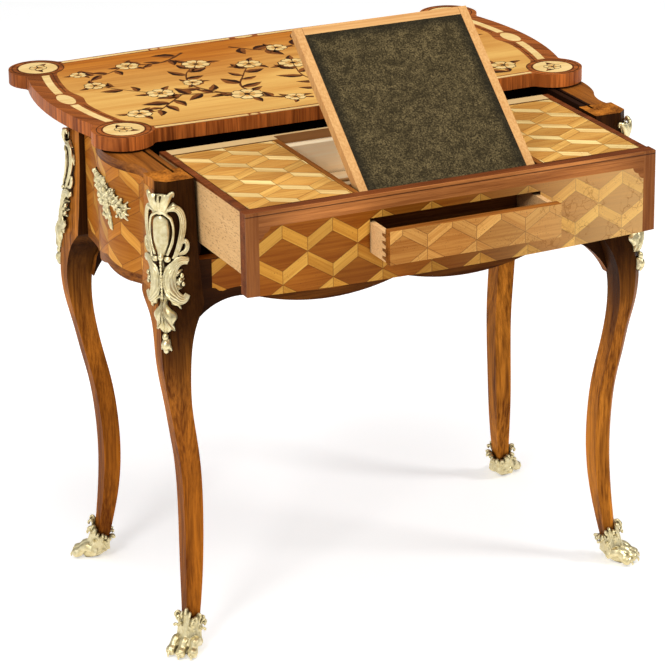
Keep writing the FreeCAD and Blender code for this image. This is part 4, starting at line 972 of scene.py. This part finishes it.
wax += [blade((0, 84), (0, 28), 39, 8.5, 2, 0, 1.8), blade((0, 80), (0, 34), 18, 12.5, 2, 0, 1.6)]
wax += [bead(0, 25, 6, 5.0), bead(0, 13, 5.5, 7.4), bead(0, 4.5, 4.5, 4.4),
        blade((0, 21), (0, 0), 15, 10, 1, 0, 1.2)]
corner_wax = one_casting(wax, "corner_wax", 0.45, 0.3)
WAX_TOP, WAX_RISE, NARROWER, SHORTER = 230.5, 1.5, 0.85, 0.97
for vertex in corner_wax.data.vertices:
    vertex.co.x *= NARROWER
    vertex.co.y = (WAX_TOP - (WAX_TOP + WAX_RISE - vertex.co.y / MM) * SHORTER) * MM
print("corner wax:", len(corner_wax.data.polygons), "faces")

# %% [markdown]
# Each post has a canted corner between its front and its side, and it swells towards the knee. Rays
# find the two outer faces at every height. A point of the wax then goes along the cant, turns with it
# onto the neighbouring face, and stands off the wood by its relief.

# %% Bend the wax round the four corners
CANT = 13.0
HALF_CANT = CANT / math.sqrt(2)
TURN_FROM, TURN_OVER = HALF_CANT * 0.6, HALF_CANT * 0.9
MOUNT_FOOT = 463.5
# Rays start well outside the table, at rings up the post, which goes outwards towards its knee.
OUTSIDE = 600
RING_LOW, RING_STEP, RINGS = 455, 5, 51
POST_X, POST_Y, POST_TOP = 344, 141, 700
KNEE_X, KNEE_Y, KNEE_DROP = 17, 42, 236


def solid_of(*names):
    """A ray target made of CAD nodes."""
    places, faces = [], []
    for name in names:
        mesh = boards[name].data
        first = len(places)
        places += [v.co.copy() for v in mesh.vertices]
        faces += [[first + i for i in p.vertices] for p in mesh.polygons]
    return BVHTree.FromPolygons(places, faces)


def corner_rule(leg, side_x, side_y, deeper):
    """How a point (across, up, out) of a flat wax goes onto the corner of a leg."""
    target = solid_of(leg)
    found = []
    for step in range(RINGS):
        height = RING_LOW + RING_STEP * step
        drop = (POST_TOP - height) / KNEE_DROP
        x, y = POST_X + KNEE_X * drop, POST_Y + deeper + KNEE_Y * drop
        hit_x = target.ray_cast(Vector((side_x * OUTSIDE, side_y * y, height)) * MM,
                                Vector((-side_x, 0, 0)))[0]
        hit_y = target.ray_cast(Vector((side_x * x, side_y * OUTSIDE, height)) * MM,
                                Vector((0, -side_y, 0)))[0]
        found.append((abs(hit_x.x) / MM, abs(hit_y.y) / MM))

    def rule(point):
        across, height, out = point.x, MOUNT_FOOT + point.y, point.z
        step = min(max((height - RING_LOW) / RING_STEP, 0), RINGS - 1.001)
        low, share = int(step), step - int(step)
        face_x, face_y = (a + share * (b - a) for a, b in zip(found[low], found[low + 1]))
        turn = 0.0
        if abs(across) > TURN_FROM:
            ramp = min(1, (abs(across) - TURN_FROM) / TURN_OVER)
            turn = math.copysign(math.radians(45) * ramp, across)
        x, y = face_x - CANT / 2, face_y - CANT / 2
        reach = min(HALF_CANT, max(-HALF_CANT, across)) / math.sqrt(2)
        x, y = x - reach, y + reach
        if across > HALF_CANT:
            x -= across - HALF_CANT
        if across < -HALF_CANT:
            y -= -across - HALF_CANT
        angle = math.radians(45) + turn
        x, y = x + out * math.cos(angle), y + out * math.sin(angle)
        return Vector((side_x * x, side_y * y, height)) * MM

    return rule


BACK_DEEPER = 20
CORNERS = [("front_left", -1, -1, 0), ("front_right", 1, -1, 0), ("back_left", -1, 1, BACK_DEEPER),
           ("back_right", 1, 1, BACK_DEEPER)]
for name, side_x, side_y, deeper in CORNERS:
    rule = corner_rule(f"{name}_leg", side_x, side_y, deeper)
    mount = bent_copy(corner_wax, f"{name}_gilt_corner", rule, side_x * side_y > 0)
    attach(mount, "carcass")
    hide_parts(f"{name}_corner_mount")
    print(mount.name, [round(v, 3) for v in mount.dimensions])
bpy.data.objects.remove(corner_wax)

# %% [markdown]
# Each side rail carries a flower drop and a leaf spray, cast as one. Their wax is made the same way
# and laid on the serpentine rail with rays across it.

# %% Side sprays
SIDES = (("left", -1), ("right", 1))
SPRAY_FOOT, SPRAY_SUNK = 603, 0.8
ROWS = 8
chance = random.Random(11)
wax = []
for row in range(ROWS):
    t = row / (ROWS - 0.6)
    back_edge, front_edge, rise = 48 - 66 * t, -4 - 19 * t, 62 - 60 * t
    count = max(1, round((back_edge - front_edge) / 9))
    for k in range(count):
        across = back_edge + (front_edge - back_edge) * (k + 0.5) / count
        lean = -4 + 8 * (k + 0.5) / count + chance.uniform(-2, 2)
        out = 6.5 + chance.uniform(-1, 1)
        wax.append(blade((across, rise + 6), (across - lean, rise - 8), 9.5, out, 2, lean / 2))
        if (row + k) % 2 == 0:
            wax.append(bead(across + 2, rise + 2, 6.6, chance.uniform(2.0, 3.0)))
wax.append(blade((-20, 6), (-23, -6), 6, 6, 1))
TWIG = ((-8, 52), (-17, 48), (-26, 44), (-34, 40), (-42, 36), (-48, 32))
for step, (across, rise) in enumerate(TWIG):
    for turn in (120, 160, 200, 240, 280):
        heading = math.radians(turn + chance.uniform(-14, 14))
        reach = (9 + 1.7 * step) * chance.uniform(0.8, 1.15)
        tip = (across + reach * math.cos(heading), rise + reach * math.sin(heading))
        wax.append(blade((across, rise), tip, 6.5, 6 + chance.uniform(-1, 1.5), 2, chance.uniform(-1, 1)))
        if step % 2 == 0:
            wax.append(bead(*tip, 5, chance.uniform(1.8, 2.6)))
    wax.append(bead(across, rise, 7, chance.uniform(2.4, 3.4)))
wax.append(stem([(14, 60, 4, 2.6), (-10, 51, 5, 2.6), (-34, 40, 5, 2.2), (-52, 30, 4, 1.6)]))
spray_wax = one_casting(wax, "spray_wax")


def spray_rule(rail, side_x):
    """How a point of the flat spray goes onto a side rail."""
    target = solid_of(rail)

    def rule(point):
        y, z = point.x, SPRAY_FOOT + point.y
        hit = target.ray_cast(Vector((side_x * OUTSIDE, y, z)) * MM, Vector((-side_x, 0, 0)))[0]
        return Vector((hit.x + side_x * (point.z - SPRAY_SUNK) * MM, y * MM, z * MM))

    return rule


for name, side_x in SIDES:
    rule = spray_rule(f"{name}_side_rail", side_x)
    spray = bent_copy(spray_wax, f"{name}_gilt_spray", rule, side_x > 0)
    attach(spray, "carcass")
    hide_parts(f"{name}_side_mount")
    print(spray.name, [round(v, 3) for v in spray.dimensions])
bpy.data.objects.remove(spray_wax)

# %% [markdown]
# A lion's paw shoes each foot. Three broad toes bend over their knuckles to a small claw, and acanthus
# fronds with curled tips climb the leg. Stems make them all, as a carver would roll wax, and the melt
# joins them. The wax stands upright here: X points outwards, Y sideways and Z up.

# %% Paw shoes
FOOT_X, FOOT_Y = 354, 185
# How far the leg stands behind the middle of the foot, from which height, and how it leans as it rises.
LEG_BACK, LEG_FROM, LEG_LEAN = 5.7, 21.6, 0.27
FROND_FOOT = 15


def toe(side, fan, back):
    """A short toe that bends over its knuckle and swells to a pad, with a small claw."""
    turn = math.radians(fan)

    def along(spots):
        return [(2 - back + d * math.cos(turn), side + d * math.sin(turn), z, r) for d, z, r in spots]

    finger = stem(along([(-8, 13, 8.4), (1, 17.5, 8.2), (8, 20.5, 8.0), (14, 18.5, 6.6), (18, 13.5, 6.6),
                         (23, 9.6, 8.2), (28.5, 8.4, 7.8), (30.5, 7.6, 5.5)]))
    claw = stem(along([(30, 9.4, 2.8), (33, 8, 2.2), (34.2, 5, 1.6), (34.2, 2.4, 0.8)]))
    return [finger, claw]


# How a rib of an acanthus leaf goes: its share of the height, its distance off the leg, and its radius.
ROLL_OUT = ((0.0, 7.0, 2.0), (0.35, 4.2, 2.0), (0.65, 3.2, 2.0), (0.88, 3.8, 2.1), (0.99, 6.4, 2.2),
            (1.0, 9.8, 2.2), (0.92, 11.8, 2.0), (0.85, 9.6, 1.6))
# The faces of the leg's section above the foot: their direction in degrees and their distance.
LEG_FACES = ((0, 10.9), (45, 9.3), (-45, 9.7), (135, 9.7), (-135, 9.3))


def leg_reach(turn):
    """How far the leg's canted section goes out from its middle in a direction."""
    away = [(reach, math.cos(math.radians(turn - facing))) for facing, reach in LEG_FACES]
    return min(reach / c for reach, c in away if c > 0.05)


def frond(turn, high, wide, rolled=True):
    """An acanthus leaf up the leg: ribs spread from one foot over a thin web and roll out at their tips."""
    made = []
    for beside, share, sunk in ((0, 1.0, 0), (-1, 0.9, 0), (1, 0.9, 0), (-2, 0.72, 0), (2, 0.72, 0),
                                (-0.5, 0.86, 1.6), (0.5, 0.86, 1.6), (-1.5, 0.7, 1.6), (1.5, 0.7, 1.6)):
        roll = ROLL_OUT if rolled and sunk == 0 else ROLL_OUT[:4]
        points = []
        for part, off, radius in roll:
            facing = turn + wide * beside * (0.3 + 0.9 * part)
            z = FROND_FOOT + (high - FROND_FOOT) * share * part
            out, lean = leg_reach(facing) + off - sunk, -LEG_BACK - (z - LEG_FROM) * LEG_LEAN
            angle = math.radians(facing)
            points.append((lean + out * math.cos(angle), out * math.sin(angle), z, radius))
        made.append(stem(points))
    return made


wax = []
for side, fan, back in ((-13, -8, 4), (0, 0, 0), (13, 8, 4)):
    wax += toe(side, fan, back)
wax.append(stem([(-20, 0, 24, 8), (-13, 0, 21, 11.5), (-4, 0, 17, 15), (5, 0, 12, 15.5), (15, 0, 8, 13)]))
wax.append(stem([(-6, 0, 14, 14.5), (-8, 0, 22, 13), (-10, 0, 30, 9)]))
for turn in (32, -32, 93, -93, 151, -151):
    wax += frond(turn, 52 - abs(turn) * 0.14, 9, False)
for turn, high, wide in ((0, 67, 14), (64, 58, 15), (-64, 58, 15), (122, 44, 14), (-122, 44, 14),
                         (180, 38, 15)):
    wax += frond(turn, high, wide)
paw_wax = one_casting(wax, "paw_wax", 0.5)
for vertex in paw_wax.data.vertices:
    vertex.co.z = max(vertex.co.z, 0.0)
for name, side_x, side_y, _ in CORNERS:
    out = Vector((side_x, side_y)).normalized()

    def rule(point):
        return Vector((side_x * FOOT_X + out.x * point.x - out.y * point.y * side_x * side_y,
                       side_y * FOOT_Y + out.y * point.x + out.x * point.y * side_x * side_y, point.z)) * MM

    paw = bent_copy(paw_wax, f"{name}_gilt_paw", rule, side_x * side_y < 0)
    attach(paw, "carcass")
    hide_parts(f"{name}_paw")
    print(paw.name, [round(v, 3) for v in paw.dimensions])
bpy.data.objects.remove(paw_wax)

# %% [markdown]
# The serpentine sides, the apron and the back are covered with the same block veneer, edged by a band
# of the solid rail. A veneer is a sheet, so it starts as a flat grid. Rays lay each point of the grid
# on the rail, and a Solidify modifier gives it its thickness. Its UV map is the sheet before bending,
# in metres, which is what the blocks are drawn on.

# %% Veneer sheets
VENEER = 0.35
EDGE_BAND = 14
BELOW, ABOVE = 300, 900
SIDE_WALL = 6.0


def sheet(name, steps, where, material, body="carcass", wall=2.0):
    """A bent sheet from a grid. where(across, up), both 0 to 1, gives a place in metres and a flat place."""
    deselect()
    bpy.ops.mesh.primitive_grid_add(x_subdivisions=steps[0], y_subdivisions=steps[1], size=2)
    made = bpy.context.object
    made.name = made.data.name = name
    flat = []
    for vertex in made.data.vertices:
        vertex.co, on_sheet = where((vertex.co.x + 1) / 2, (vertex.co.y + 1) / 2)
        flat.append(on_sheet)
    for loop, uv in zip(made.data.loops, made.data.uv_layers[0].data):
        uv.uv = flat[loop.vertex_index]
    face = made.data.polygons[len(made.data.polygons) // 2]
    if face.normal.dot(face.center - Vector((0, 0, face.center.z))) < 0:
        made.data.flip_normals()
    thicken(made, wall)
    bpy.ops.object.shade_smooth_by_angle(angle=math.radians(40))
    made.data.materials.append(material)
    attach(made, body)
    return made


def sheet_blocks(name, tones, shift, burr):
    """The block veneer for a bent sheet, drawn on its UV map."""
    made, tree, shader = start_material(name, 0.4)
    flat = tree.nodes.new("ShaderNodeTexCoord").outputs["UV"]
    moved = node(tree, "VectorMath", flat, (*shift, 0), operation="SUBTRACT")
    lozenge, rising, falling = (colour(*t) for t in tones)
    out = place_group(tree, blocks, Vector=moved, Lozenge=lozenge, Rising=rising, Falling=falling, Burr=burr)
    dress(tree, shader, seam_shaded(tree, out["Color"]), out["Height"], BLOCK_DEPTH)
    return made


def ogee(near, reach=15, rise=13):
    """The rise of a panel's lower edge near its end, a soft step like that of the drawer front's frame."""
    share = min(1, max(0, 1 - near / reach))
    return rise * share * share * (3 - 2 * share)


SIDE_TONES = ((182, 114, 38), (192, 124, 44), (222, 162, 72))
side_blocks = sheet_blocks("side_blocks", SIDE_TONES, (0.043, 0.6595), 0.35)
# Where rays find the rail's lower edge and the post's arris, and where the sheet eases between the two.
RAIL_X, RAIL_FRONT, RAIL_BACK = 350, -112, 132
ARRIS_X, ARRIS_LOW, ARRIS_GAP, POST_GAP = 346, 548, 1.5, 2
EASE_FRONT, EASE_BACK = -138, -88


def side_sheet(name, side_x):
    """The veneer of a side, from the arris of the front post to the back post, eased over their joint."""
    leg, rail = f"front_{name}_leg", f"{name}_side_rail"
    post, board = solid_of(leg), solid_of(rail)
    rail_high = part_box(rail)[1]
    inward = Vector((-side_x, 0, 0))

    def outer(target, y, z):
        hit = target.ray_cast(Vector((side_x * OUTSIDE, y, z)) * MM, inward)[0]
        return abs(hit.x) / MM if hit else 0

    def lower(y):
        inside = min(max(y, RAIL_FRONT), RAIL_BACK)
        return board.ray_cast(Vector((side_x * RAIL_X, inside, BELOW)) * MM, Vector((0, 0, 1)))[0].z / MM

    def where(across, rise):
        high = rail_high.z / MM - EDGE_BAND
        guess = ARRIS_LOW + rise * (high - ARRIS_LOW)
        arris = post.ray_cast(Vector((side_x * ARRIS_X, -OUTSIDE, guess)) * MM, Vector((0, 1, 0)))[0]
        y_front, y_back = arris.y / MM + CANT + ARRIS_GAP, rail_high.y / MM - POST_GAP
        y = y_front + across * (y_back - y_front)
        low = lower(y) + EDGE_BAND + ogee(y_back - y) + ogee(y - y_front)
        z = low + rise * (high - low)
        x = max(outer(post, y, z), outer(board, y, z))
        share = min(1, max(0, (y - EASE_FRONT) / (EASE_BACK - EASE_FRONT)))
        eased = outer(post, EASE_FRONT, z) * (1 - share) + outer(board, EASE_BACK, z) * share
        if 0 < share < 1:
            x = max(x, eased)
        return Vector((side_x * (x + VENEER) * MM, y * MM, z * MM)), (side_x * y * MM, z * MM)

    return sheet(f"{name}_side_veneer", (90, 16), where, side_blocks, wall=SIDE_WALL)


for name, side_x in SIDES:
    print(side_sheet(name, side_x).name)


def flat_sheet(name, rail, facing, half, margin, material):
    """The veneer of the apron or the back rail, which are flat."""
    board = solid_of(rail)
    low_corner, high_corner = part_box(rail)
    face = (low_corner.y if facing < 0 else high_corner.y) / MM
    inside = face - facing * 4

    def where(across, rise):
        x = half * (2 * across - 1)
        below = board.ray_cast(Vector((x, inside, BELOW)) * MM, Vector((0, 0, 1)))[0]
        above = board.ray_cast(Vector((x, inside, ABOVE)) * MM, Vector((0, 0, -1)))[0]
        low, high = below.z / MM + EDGE_BAND + ogee(half - abs(x)), above.z / MM - margin
        z = low + rise * (high - low)
        return Vector((x, face + facing * VENEER, z)) * MM, (-facing * x * MM, z * MM)

    return sheet(name, (110, 6), where, material)


HALF_APRON, HALF_BACK, DRAWER_GAP = 293, 300, 1.5
apron_blocks = sheet_blocks("apron_blocks", FRONT_TONES, (LOZENGE_WIDE / 2, 0.554), 0.5)
print(flat_sheet("apron_veneer", "front_apron", -1, HALF_APRON, DRAWER_GAP, apron_blocks).name)
print(flat_sheet("back_veneer", "back_rail", 1, HALF_BACK, EDGE_BAND, side_blocks).name)

# %% [markdown]
# The top is a picture in woods. Each piece of it is sawn out of veneer and let into the ground, so each
# is a thin plate here, a hair proud of the board: a plate is drawn as a flat face from its outline, and
# Solidify makes it a plate. The ground goes from amber at the back to honey at the front.

# %% Plates for the top
TOP_LOW_CORNER, TOP_HIGH_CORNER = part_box("top_panel")
TOP_FACE = TOP_HIGH_CORNER.z / MM
TOP_MIDDLE = (TOP_LOW_CORNER.y + TOP_HIGH_CORNER.y) / 2 / MM
PLATE = 0.6


def inlay(name, outlines, lift, material):
    """Thin plates from outlines in millimetres from the middle of the top, joined as one piece."""
    places, faces = [], []
    for outline in outlines:
        area = sum(a[0] * b[1] - b[0] * a[1] for a, b in zip(outline, outline[1:] + outline[:1]))
        ordered_outline = outline if area > 0 else outline[::-1]
        faces.append(list(range(len(places), len(places) + len(outline))))
        places += [(x * MM, (y + TOP_MIDDLE) * MM, (TOP_FACE + lift) * MM) for x, y in ordered_outline]
    mesh = bpy.data.meshes.new(name)
    mesh.from_pydata(places, [], faces)
    made = bpy.data.objects.new(name, mesh)
    bpy.context.scene.collection.objects.link(made)
    pick(made)
    thicken(made, PLATE)
    mesh.materials.append(material)
    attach(made, "top")
    return made


def veneer_wood(name, light, dark, figure, pores):
    """A polished inlay wood with its grain along the table."""
    made, tree, shader = start_material(name, 0.38)
    out = grained(tree, ordered(tree, "X"), dict(light=light, dark=dark, figure=figure, pores=pores))
    dress(tree, shader, out["Color"], out["Height"], FINE_DEPTH)
    return made


holly = veneer_wood("holly", (244, 214, 150), (222, 180, 108), 0.4, 0.15)
satinwood = veneer_wood("satinwood", (226, 172, 92), (196, 134, 62), 0.5, 0.2)
walnut = veneer_wood("dark_walnut", (66, 31, 12), (30, 13, 6), 0.5, 0.4)
shaded = veneer_wood("shaded_pear", (146, 86, 36), (96, 50, 20), 0.5, 0.3)
twig_wood = veneer_wood("twig_plum", (112, 62, 26), (62, 31, 12), 0.5, 0.3)

AMBER = dict(light=(208, 128, 40), dark=(160, 84, 20), figure=0.55, pores=0.25)
HONEY = dict(light=(230, 182, 100), dark=(206, 146, 70), figure=0.55, pores=0.2)
ground, tree, shader = start_material("honey_ground", 0.38)
x, y, z = split(tree, own_place(tree))
long_wave = times(tree, calc(tree, "SINE", times(tree, x, 13.0)), 0.026)
short_turn = plus(tree, times(tree, x, 31.0), 1.3)
short_wave = times(tree, calc(tree, "SINE", short_turn), 0.011)
wave = plus(tree, long_wave, short_wave)
depth = minus(tree, minus(tree, y, TOP_MIDDLE * MM - 0.004), wave)
back_share = ease(tree, depth, -0.006, 0.012)
gradient_share = ease(tree, depth, 0.0, 0.19, 0.25, 1.0)
amber = grained(tree, ordered(tree, "X"), AMBER)
honey = grained(tree, ordered(tree, "X"), HONEY)
deep = blend(tree, gradient_share, honey["Color"], amber["Color"])
dress(tree, shader, blend(tree, back_share, honey["Color"], deep), honey["Height"], FINE_DEPTH)
print("inlay woods: 6")

# %% [markdown]
# Rays from outside find the rim of the top, and the borders are drawn as distances in from it: a pale
# string along each long edge, broken by small ovals, and broad pale bands with a cartouche at the ends.

# %% Borders of the top
rim = solid_of("top_edge_band")
RIM_HEIGHT = TOP_FACE - 8
FIELD_LONG, FIELD_END = 14.5, 46
STRING, BAND, END_LINE = (3.5, 10.5), (22, 34), (39.5, 40.5)


def long_rim(x, facing):
    """Where a long edge is at a place along it, from the middle of the top."""
    start = Vector((x, TOP_MIDDLE + facing * OUTSIDE, RIM_HEIGHT)) * MM
    return rim.ray_cast(start, Vector((0, -facing, 0)))[0].y / MM - TOP_MIDDLE


def end_rim(y, facing):
    """Where an end is at a place across it, from the middle of the top."""
    start = Vector((facing * OUTSIDE, TOP_MIDDLE + y, RIM_HEIGHT)) * MM
    return rim.ray_cast(start, Vector((-facing, 0, 0)))[0].x / MM


def spread(first, last, count):
    """Even steps from one number to another."""
    return [first + (last - first) * i / (count - 1) for i in range(count)]


def long_strip(first, last, near, far, facing):
    """A strip along a long edge, between two distances in from it."""
    xs = spread(first, last, 24)
    return ([(x, long_rim(x, facing) - facing * near) for x in xs]
            + [(x, long_rim(x, facing) - facing * far) for x in reversed(xs)])


def end_strip(first, last, near, far, facing):
    """A strip along an end, between two distances in from it."""
    ys = spread(first, last, 18)
    return ([(end_rim(y, facing) - facing * near, y) for y in ys]
            + [(end_rim(y, facing) - facing * far, y) for y in reversed(ys)])


def oval(x, y, half_x, half_y, count=36):
    """An ellipse about a place."""
    turns = [2 * math.pi * i / count for i in range(count)]
    return [(x + half_x * math.cos(t), y + half_y * math.sin(t)) for t in turns]


def hoop(x, y, outer, inner, count=48):
    """A ring as two half rings, because a plate has one outline."""
    halves = []
    for first in (0, math.pi):
        turns = spread(first, first + math.pi, count // 2)
        halves.append([(x + outer * math.cos(t), y + outer * math.sin(t)) for t in turns]
                      + [(x + inner * math.cos(t), y + inner * math.sin(t)) for t in reversed(turns)])
    return halves


DISC_X, DISC_Y, DISC, RING = 346, 175, 29.5, 40
STRAIGHT_LONG, STRAIGHT_END = 300, 130
BUMP_HIGH, BUMP_WIDE = 8, 24
field = []
for facing_x, facing_y in ((-1, -1), (1, -1), (1, 1), (-1, 1)):
    arc = []
    for turn in spread(0, 90, 14):
        a = math.radians(turn)
        x, y = facing_x * (DISC_X - RING * math.cos(a)), facing_y * (DISC_Y - RING * math.sin(a))
        inside = abs(y) < abs(long_rim(x, facing_y)) - FIELD_LONG
        if inside and abs(x) < abs(end_rim(y, facing_x)) - FIELD_END:
            arc.append((x, y))
    if facing_x * facing_y > 0:
        arc.reverse()
    field += arc
    if facing_x == -facing_y:
        ys = spread(facing_y * STRAIGHT_END, -facing_y * STRAIGHT_END, 61)
        for y in ys:
            bump = BUMP_HIGH * math.exp(-((y / BUMP_WIDE) ** 2))
            field.append((end_rim(y, facing_x) - facing_x * (FIELD_END + bump), y))
    else:
        xs = spread(facing_x * STRAIGHT_LONG, -facing_x * STRAIGHT_LONG, 61)
        field += [(x, long_rim(x, facing_y) - facing_y * FIELD_LONG) for x in xs]
inlay("top_ground", [field], 0.15, ground)

strips = [long_strip(a, b, *STRING, -1) for a, b in ((-303, -160), (-141, 141), (160, 303))]
strips += [long_strip(a, b, *STRING, 1) for a, b in ((-303, -160), (-141, -24), (24, 141), (160, 303))]
for facing in (-1, 1):
    strips += [end_strip(a, b, *BAND, facing) for a, b in ((-131, -31), (31, 131))]
    strips.append(oval(facing * 367, 0, 12, 26))
    strips += [oval(x, long_rim(x, facing) - facing * 7, 6.5, 3.4, 20) for x in (-150.5, 150.5)]
strips.append(oval(0, long_rim(0, 1) - 7.5, 15, 4.4, 24))
inlay("top_strings", strips, 0.2, holly)
discs, hoops = [], []
for x in (-DISC_X, DISC_X):
    for y in (-DISC_Y, DISC_Y):
        discs.append(oval(x, y, DISC, DISC, 56))
        hoops += hoop(x, y, DISC + 2.6, DISC + 1.2) + hoop(x, y, RING - 0.4, RING - 1.6)
inlay("corner_discs", discs, 0.2, holly)
for facing in (-1, 1):
    hoops += [end_strip(a, b, *END_LINE, facing) for a, b in ((-136, -36), (36, 136))]
inlay("top_lines", hoops, 0.22, walnut)
print("borders:", len(strips), "pale and", len(hoops), "dark pieces")

# %% [markdown]
# The flowers are a design of this lesson's own in the usual marquetry manner. A branch is a tapering
# ribbon along a smooth path. Leaves stand along it by turns, each sawn in a light and a dark half, and
# blossoms are rings of petals with a dark contour and a shaded heart.

# %% Flowers, leaves and branches
chance = random.Random(7)


def between(t, p, q, r, s):
    """A share of the way from the second to the third of four numbers on a smooth curve."""
    return 0.5 * (2 * q + (r - p) * t + (2 * p - 5 * q + 4 * r - s) * t * t
                  + (3 * q - p - 3 * r + s) * t ** 3)


def smooth_path(points, steps=10):
    """A Catmull-Rom curve through points, as places and headings."""
    ends = [points[0]] + points + [points[-1]]
    places = []
    for a, b, c, d in zip(ends, ends[1:], ends[2:], ends[3:]):
        for i in range(steps):
            places.append(tuple(between(i / steps, *four) for four in zip(a, b, c, d)))
    places.append(points[-1])
    turns = [math.atan2(q[1] - p[1], q[0] - p[0]) for p, q in zip(places, places[1:])]
    return places, turns + turns[-1:]


def ribbon(path, wide, thin):
    """A branch along a path, a little knotty and thinner towards its end."""
    places, turns = path
    left, right_side = [], []
    for i, ((x, y), turn) in enumerate(zip(places, turns)):
        half = (wide + (thin - wide) * i / (len(places) - 1)) / 2 * (1 + 0.15 * math.sin(i * 1.7))
        left.append((x - half * math.sin(turn), y + half * math.cos(turn)))
        right_side.append((x + half * math.sin(turn), y - half * math.cos(turn)))
    return left + right_side[::-1]


def leaf(x, y, turn, long, wide, bow):
    """The two halves of a leaf, parted by its bowed midrib."""
    halves = []
    ts = spread(0, 1, 11)
    rib = [(t * long, bow * math.sin(math.pi * t)) for t in ts]
    for side in (1, -1):
        edge = [(a, b + side * wide / 2 * math.sin(math.pi * t ** 0.72) * (1 + 0.06 * math.sin(18 * t)))
                for (a, b), t in zip(rib, ts)]
        outline = edge + rib[-2:0:-1]
        cos, sin = math.cos(turn), math.sin(turn)
        halves.append([(x + a * cos - b * sin, y + a * sin + b * cos) for a, b in outline])
    return halves


def petals(x, y, reach, count, turn, inner, wide):
    """A ring of notched petals that start at a share, inner, of their reach."""
    made = []
    for k in range(count):
        middle = turn + 2 * math.pi * k / count
        outline = []
        for s in spread(-1, 1, 11):
            r = reach * (1 - 0.20 * s * s - 0.10 * math.exp(-(s / 0.22) ** 2))
            outline.append((middle + s * wide * math.pi / count, r))
        outline += [(middle + s * 0.7 * wide * math.pi / count, reach * inner) for s in (0.9, 0, -0.9)]
        made.append([(x + r * math.cos(a), y + r * math.sin(a)) for a, r in outline])
    return made


BRANCHES = [
    ([(-38, -152), (-92, -124), (-150, -72), (-206, -54), (-258, -10), (-304, 46)], 6.5),
    ([(-150, -72), (-174, -20), (-160, 40), (-126, 84)], 4.5),
    ([(-206, -54), (-238, -86), (-268, -114), (-298, -116)], 4.0),
    ([(-92, -124), (-112, -60), (-84, 0), (-54, 48)], 4.5),
    ([(-120, 152), (-170, 116), (-222, 122), (-272, 94), (-306, 110)], 4.5),
    ([(42, -150), (96, -108), (158, -90), (210, -32), (256, 10), (308, 30)], 6.5),
    ([(158, -90), (188, -128), (236, -146), (284, -134)], 4.5),
    ([(210, -32), (196, 34), (226, 88), (266, 126)], 4.5),
    ([(96, -108), (118, -44), (96, 22), (124, 84)], 4.5),
    ([(-44, 150), (0, 108), (56, 118), (92, 150), (150, 142)], 4.5),
    ([(0, -158), (4, -100), (-6, -40), (8, 20)], 5.0),
]
BLOSSOMS = [(-304, 46, 17), (-126, 84, 22), (-168, -4, 15), (-298, -116, 19), (-54, 48, 20),
            (-232, -34, 21), (-120, -96, 25), (-222, 122, 18), (-306, 110, 13), (308, 30, 16),
            (284, -134, 20), (266, 126, 19), (124, 84, 21), (184, -62, 23), (128, -100, 18),
            (236, -8, 15), (8, 24, 23), (0, -120, 24), (20, 112, 17), (150, 142, 15), (-62, -140, 16),
            (68, -132, 17)]
twigs, dark_halves, light_halves = [], [], []
contours, pale_petals, hearts, eyes = [], [], [], []


def keep_leaf(halves):
    """Puts the halves of a leaf with the dark and the light woods."""
    dark_halves.append(halves[0])
    light_halves.append(halves[1])


for points, wide in BRANCHES:
    path = smooth_path(points)
    twigs.append(ribbon(path, wide, 1.3))
    places, turns = path
    for count, i in enumerate(range(4, len(places) - 1, 3)):
        side = 1 if count % 2 else -1
        x, y = places[i]
        if any(math.hypot(x - a, y - b) < r * 0.9 for a, b, r in BLOSSOMS):
            continue
        turn = turns[i] + side * math.radians(chance.uniform(38, 68))
        long = chance.uniform(26, 42)
        wide_share = chance.uniform(0.38, 0.52)
        halves = leaf(x, y, turn, long, long * wide_share, side * chance.uniform(1, 3.5))
        keep_leaf(halves if count % 3 else halves[::-1])
for x, y, reach in BLOSSOMS:
    turn = chance.uniform(0, 6.28)
    count = 6 if reach > 20 else 5
    for k in range(3):
        sprig = turn + 2.1 * k + 0.5
        foot_x, foot_y = x + 0.7 * reach * math.cos(sprig), y + 0.7 * reach * math.sin(sprig)
        keep_leaf(leaf(foot_x, foot_y, sprig, reach * 1.15, reach * 0.5, 2))
    contours += petals(x, y, reach * 1.07, count, turn, 0.12, 0.99)
    pale_petals += petals(x, y, reach, count, turn, 0.2, 0.9)
    hearts += petals(x, y, reach * 0.55, count, turn, 0.2, 0.55)
    eyes.append(oval(x, y, reach * 0.2, reach * 0.2, 14))
for x, y in ((-DISC_X, -DISC_Y), (DISC_X, -DISC_Y), (DISC_X, DISC_Y), (-DISC_X, DISC_Y)):
    inward = math.atan2(-y, -x)
    for k in (-1, 1):
        keep_leaf(leaf(x, y, inward + k * 1.15, 25, 11, 2 * k))
    contours += petals(x, y, 14.5, 5, inward, 0.12, 0.99)
    pale_petals += petals(x, y, 13.4, 5, inward, 0.2, 0.86)
    hearts += petals(x, y, 7.5, 5, inward, 0.2, 0.5)
    eyes.append(oval(x, y, 2.4, 2.4, 12))
inlay("flower_twigs", twigs, 0.22, twig_wood)
inlay("leaf_dark_halves", dark_halves, 0.26, walnut)
inlay("leaf_light_halves", light_halves, 0.28, shaded)
inlay("petal_contours", contours, 0.32, walnut)
inlay("petal_plates", pale_petals, 0.36, holly)
inlay("petal_hearts", hearts, 0.40, satinwood)
inlay("flower_eyes", eyes, 0.44, walnut)
print("flowers:", len(BLOSSOMS), "leaves:", len(dark_halves), "branches:", len(BRANCHES))
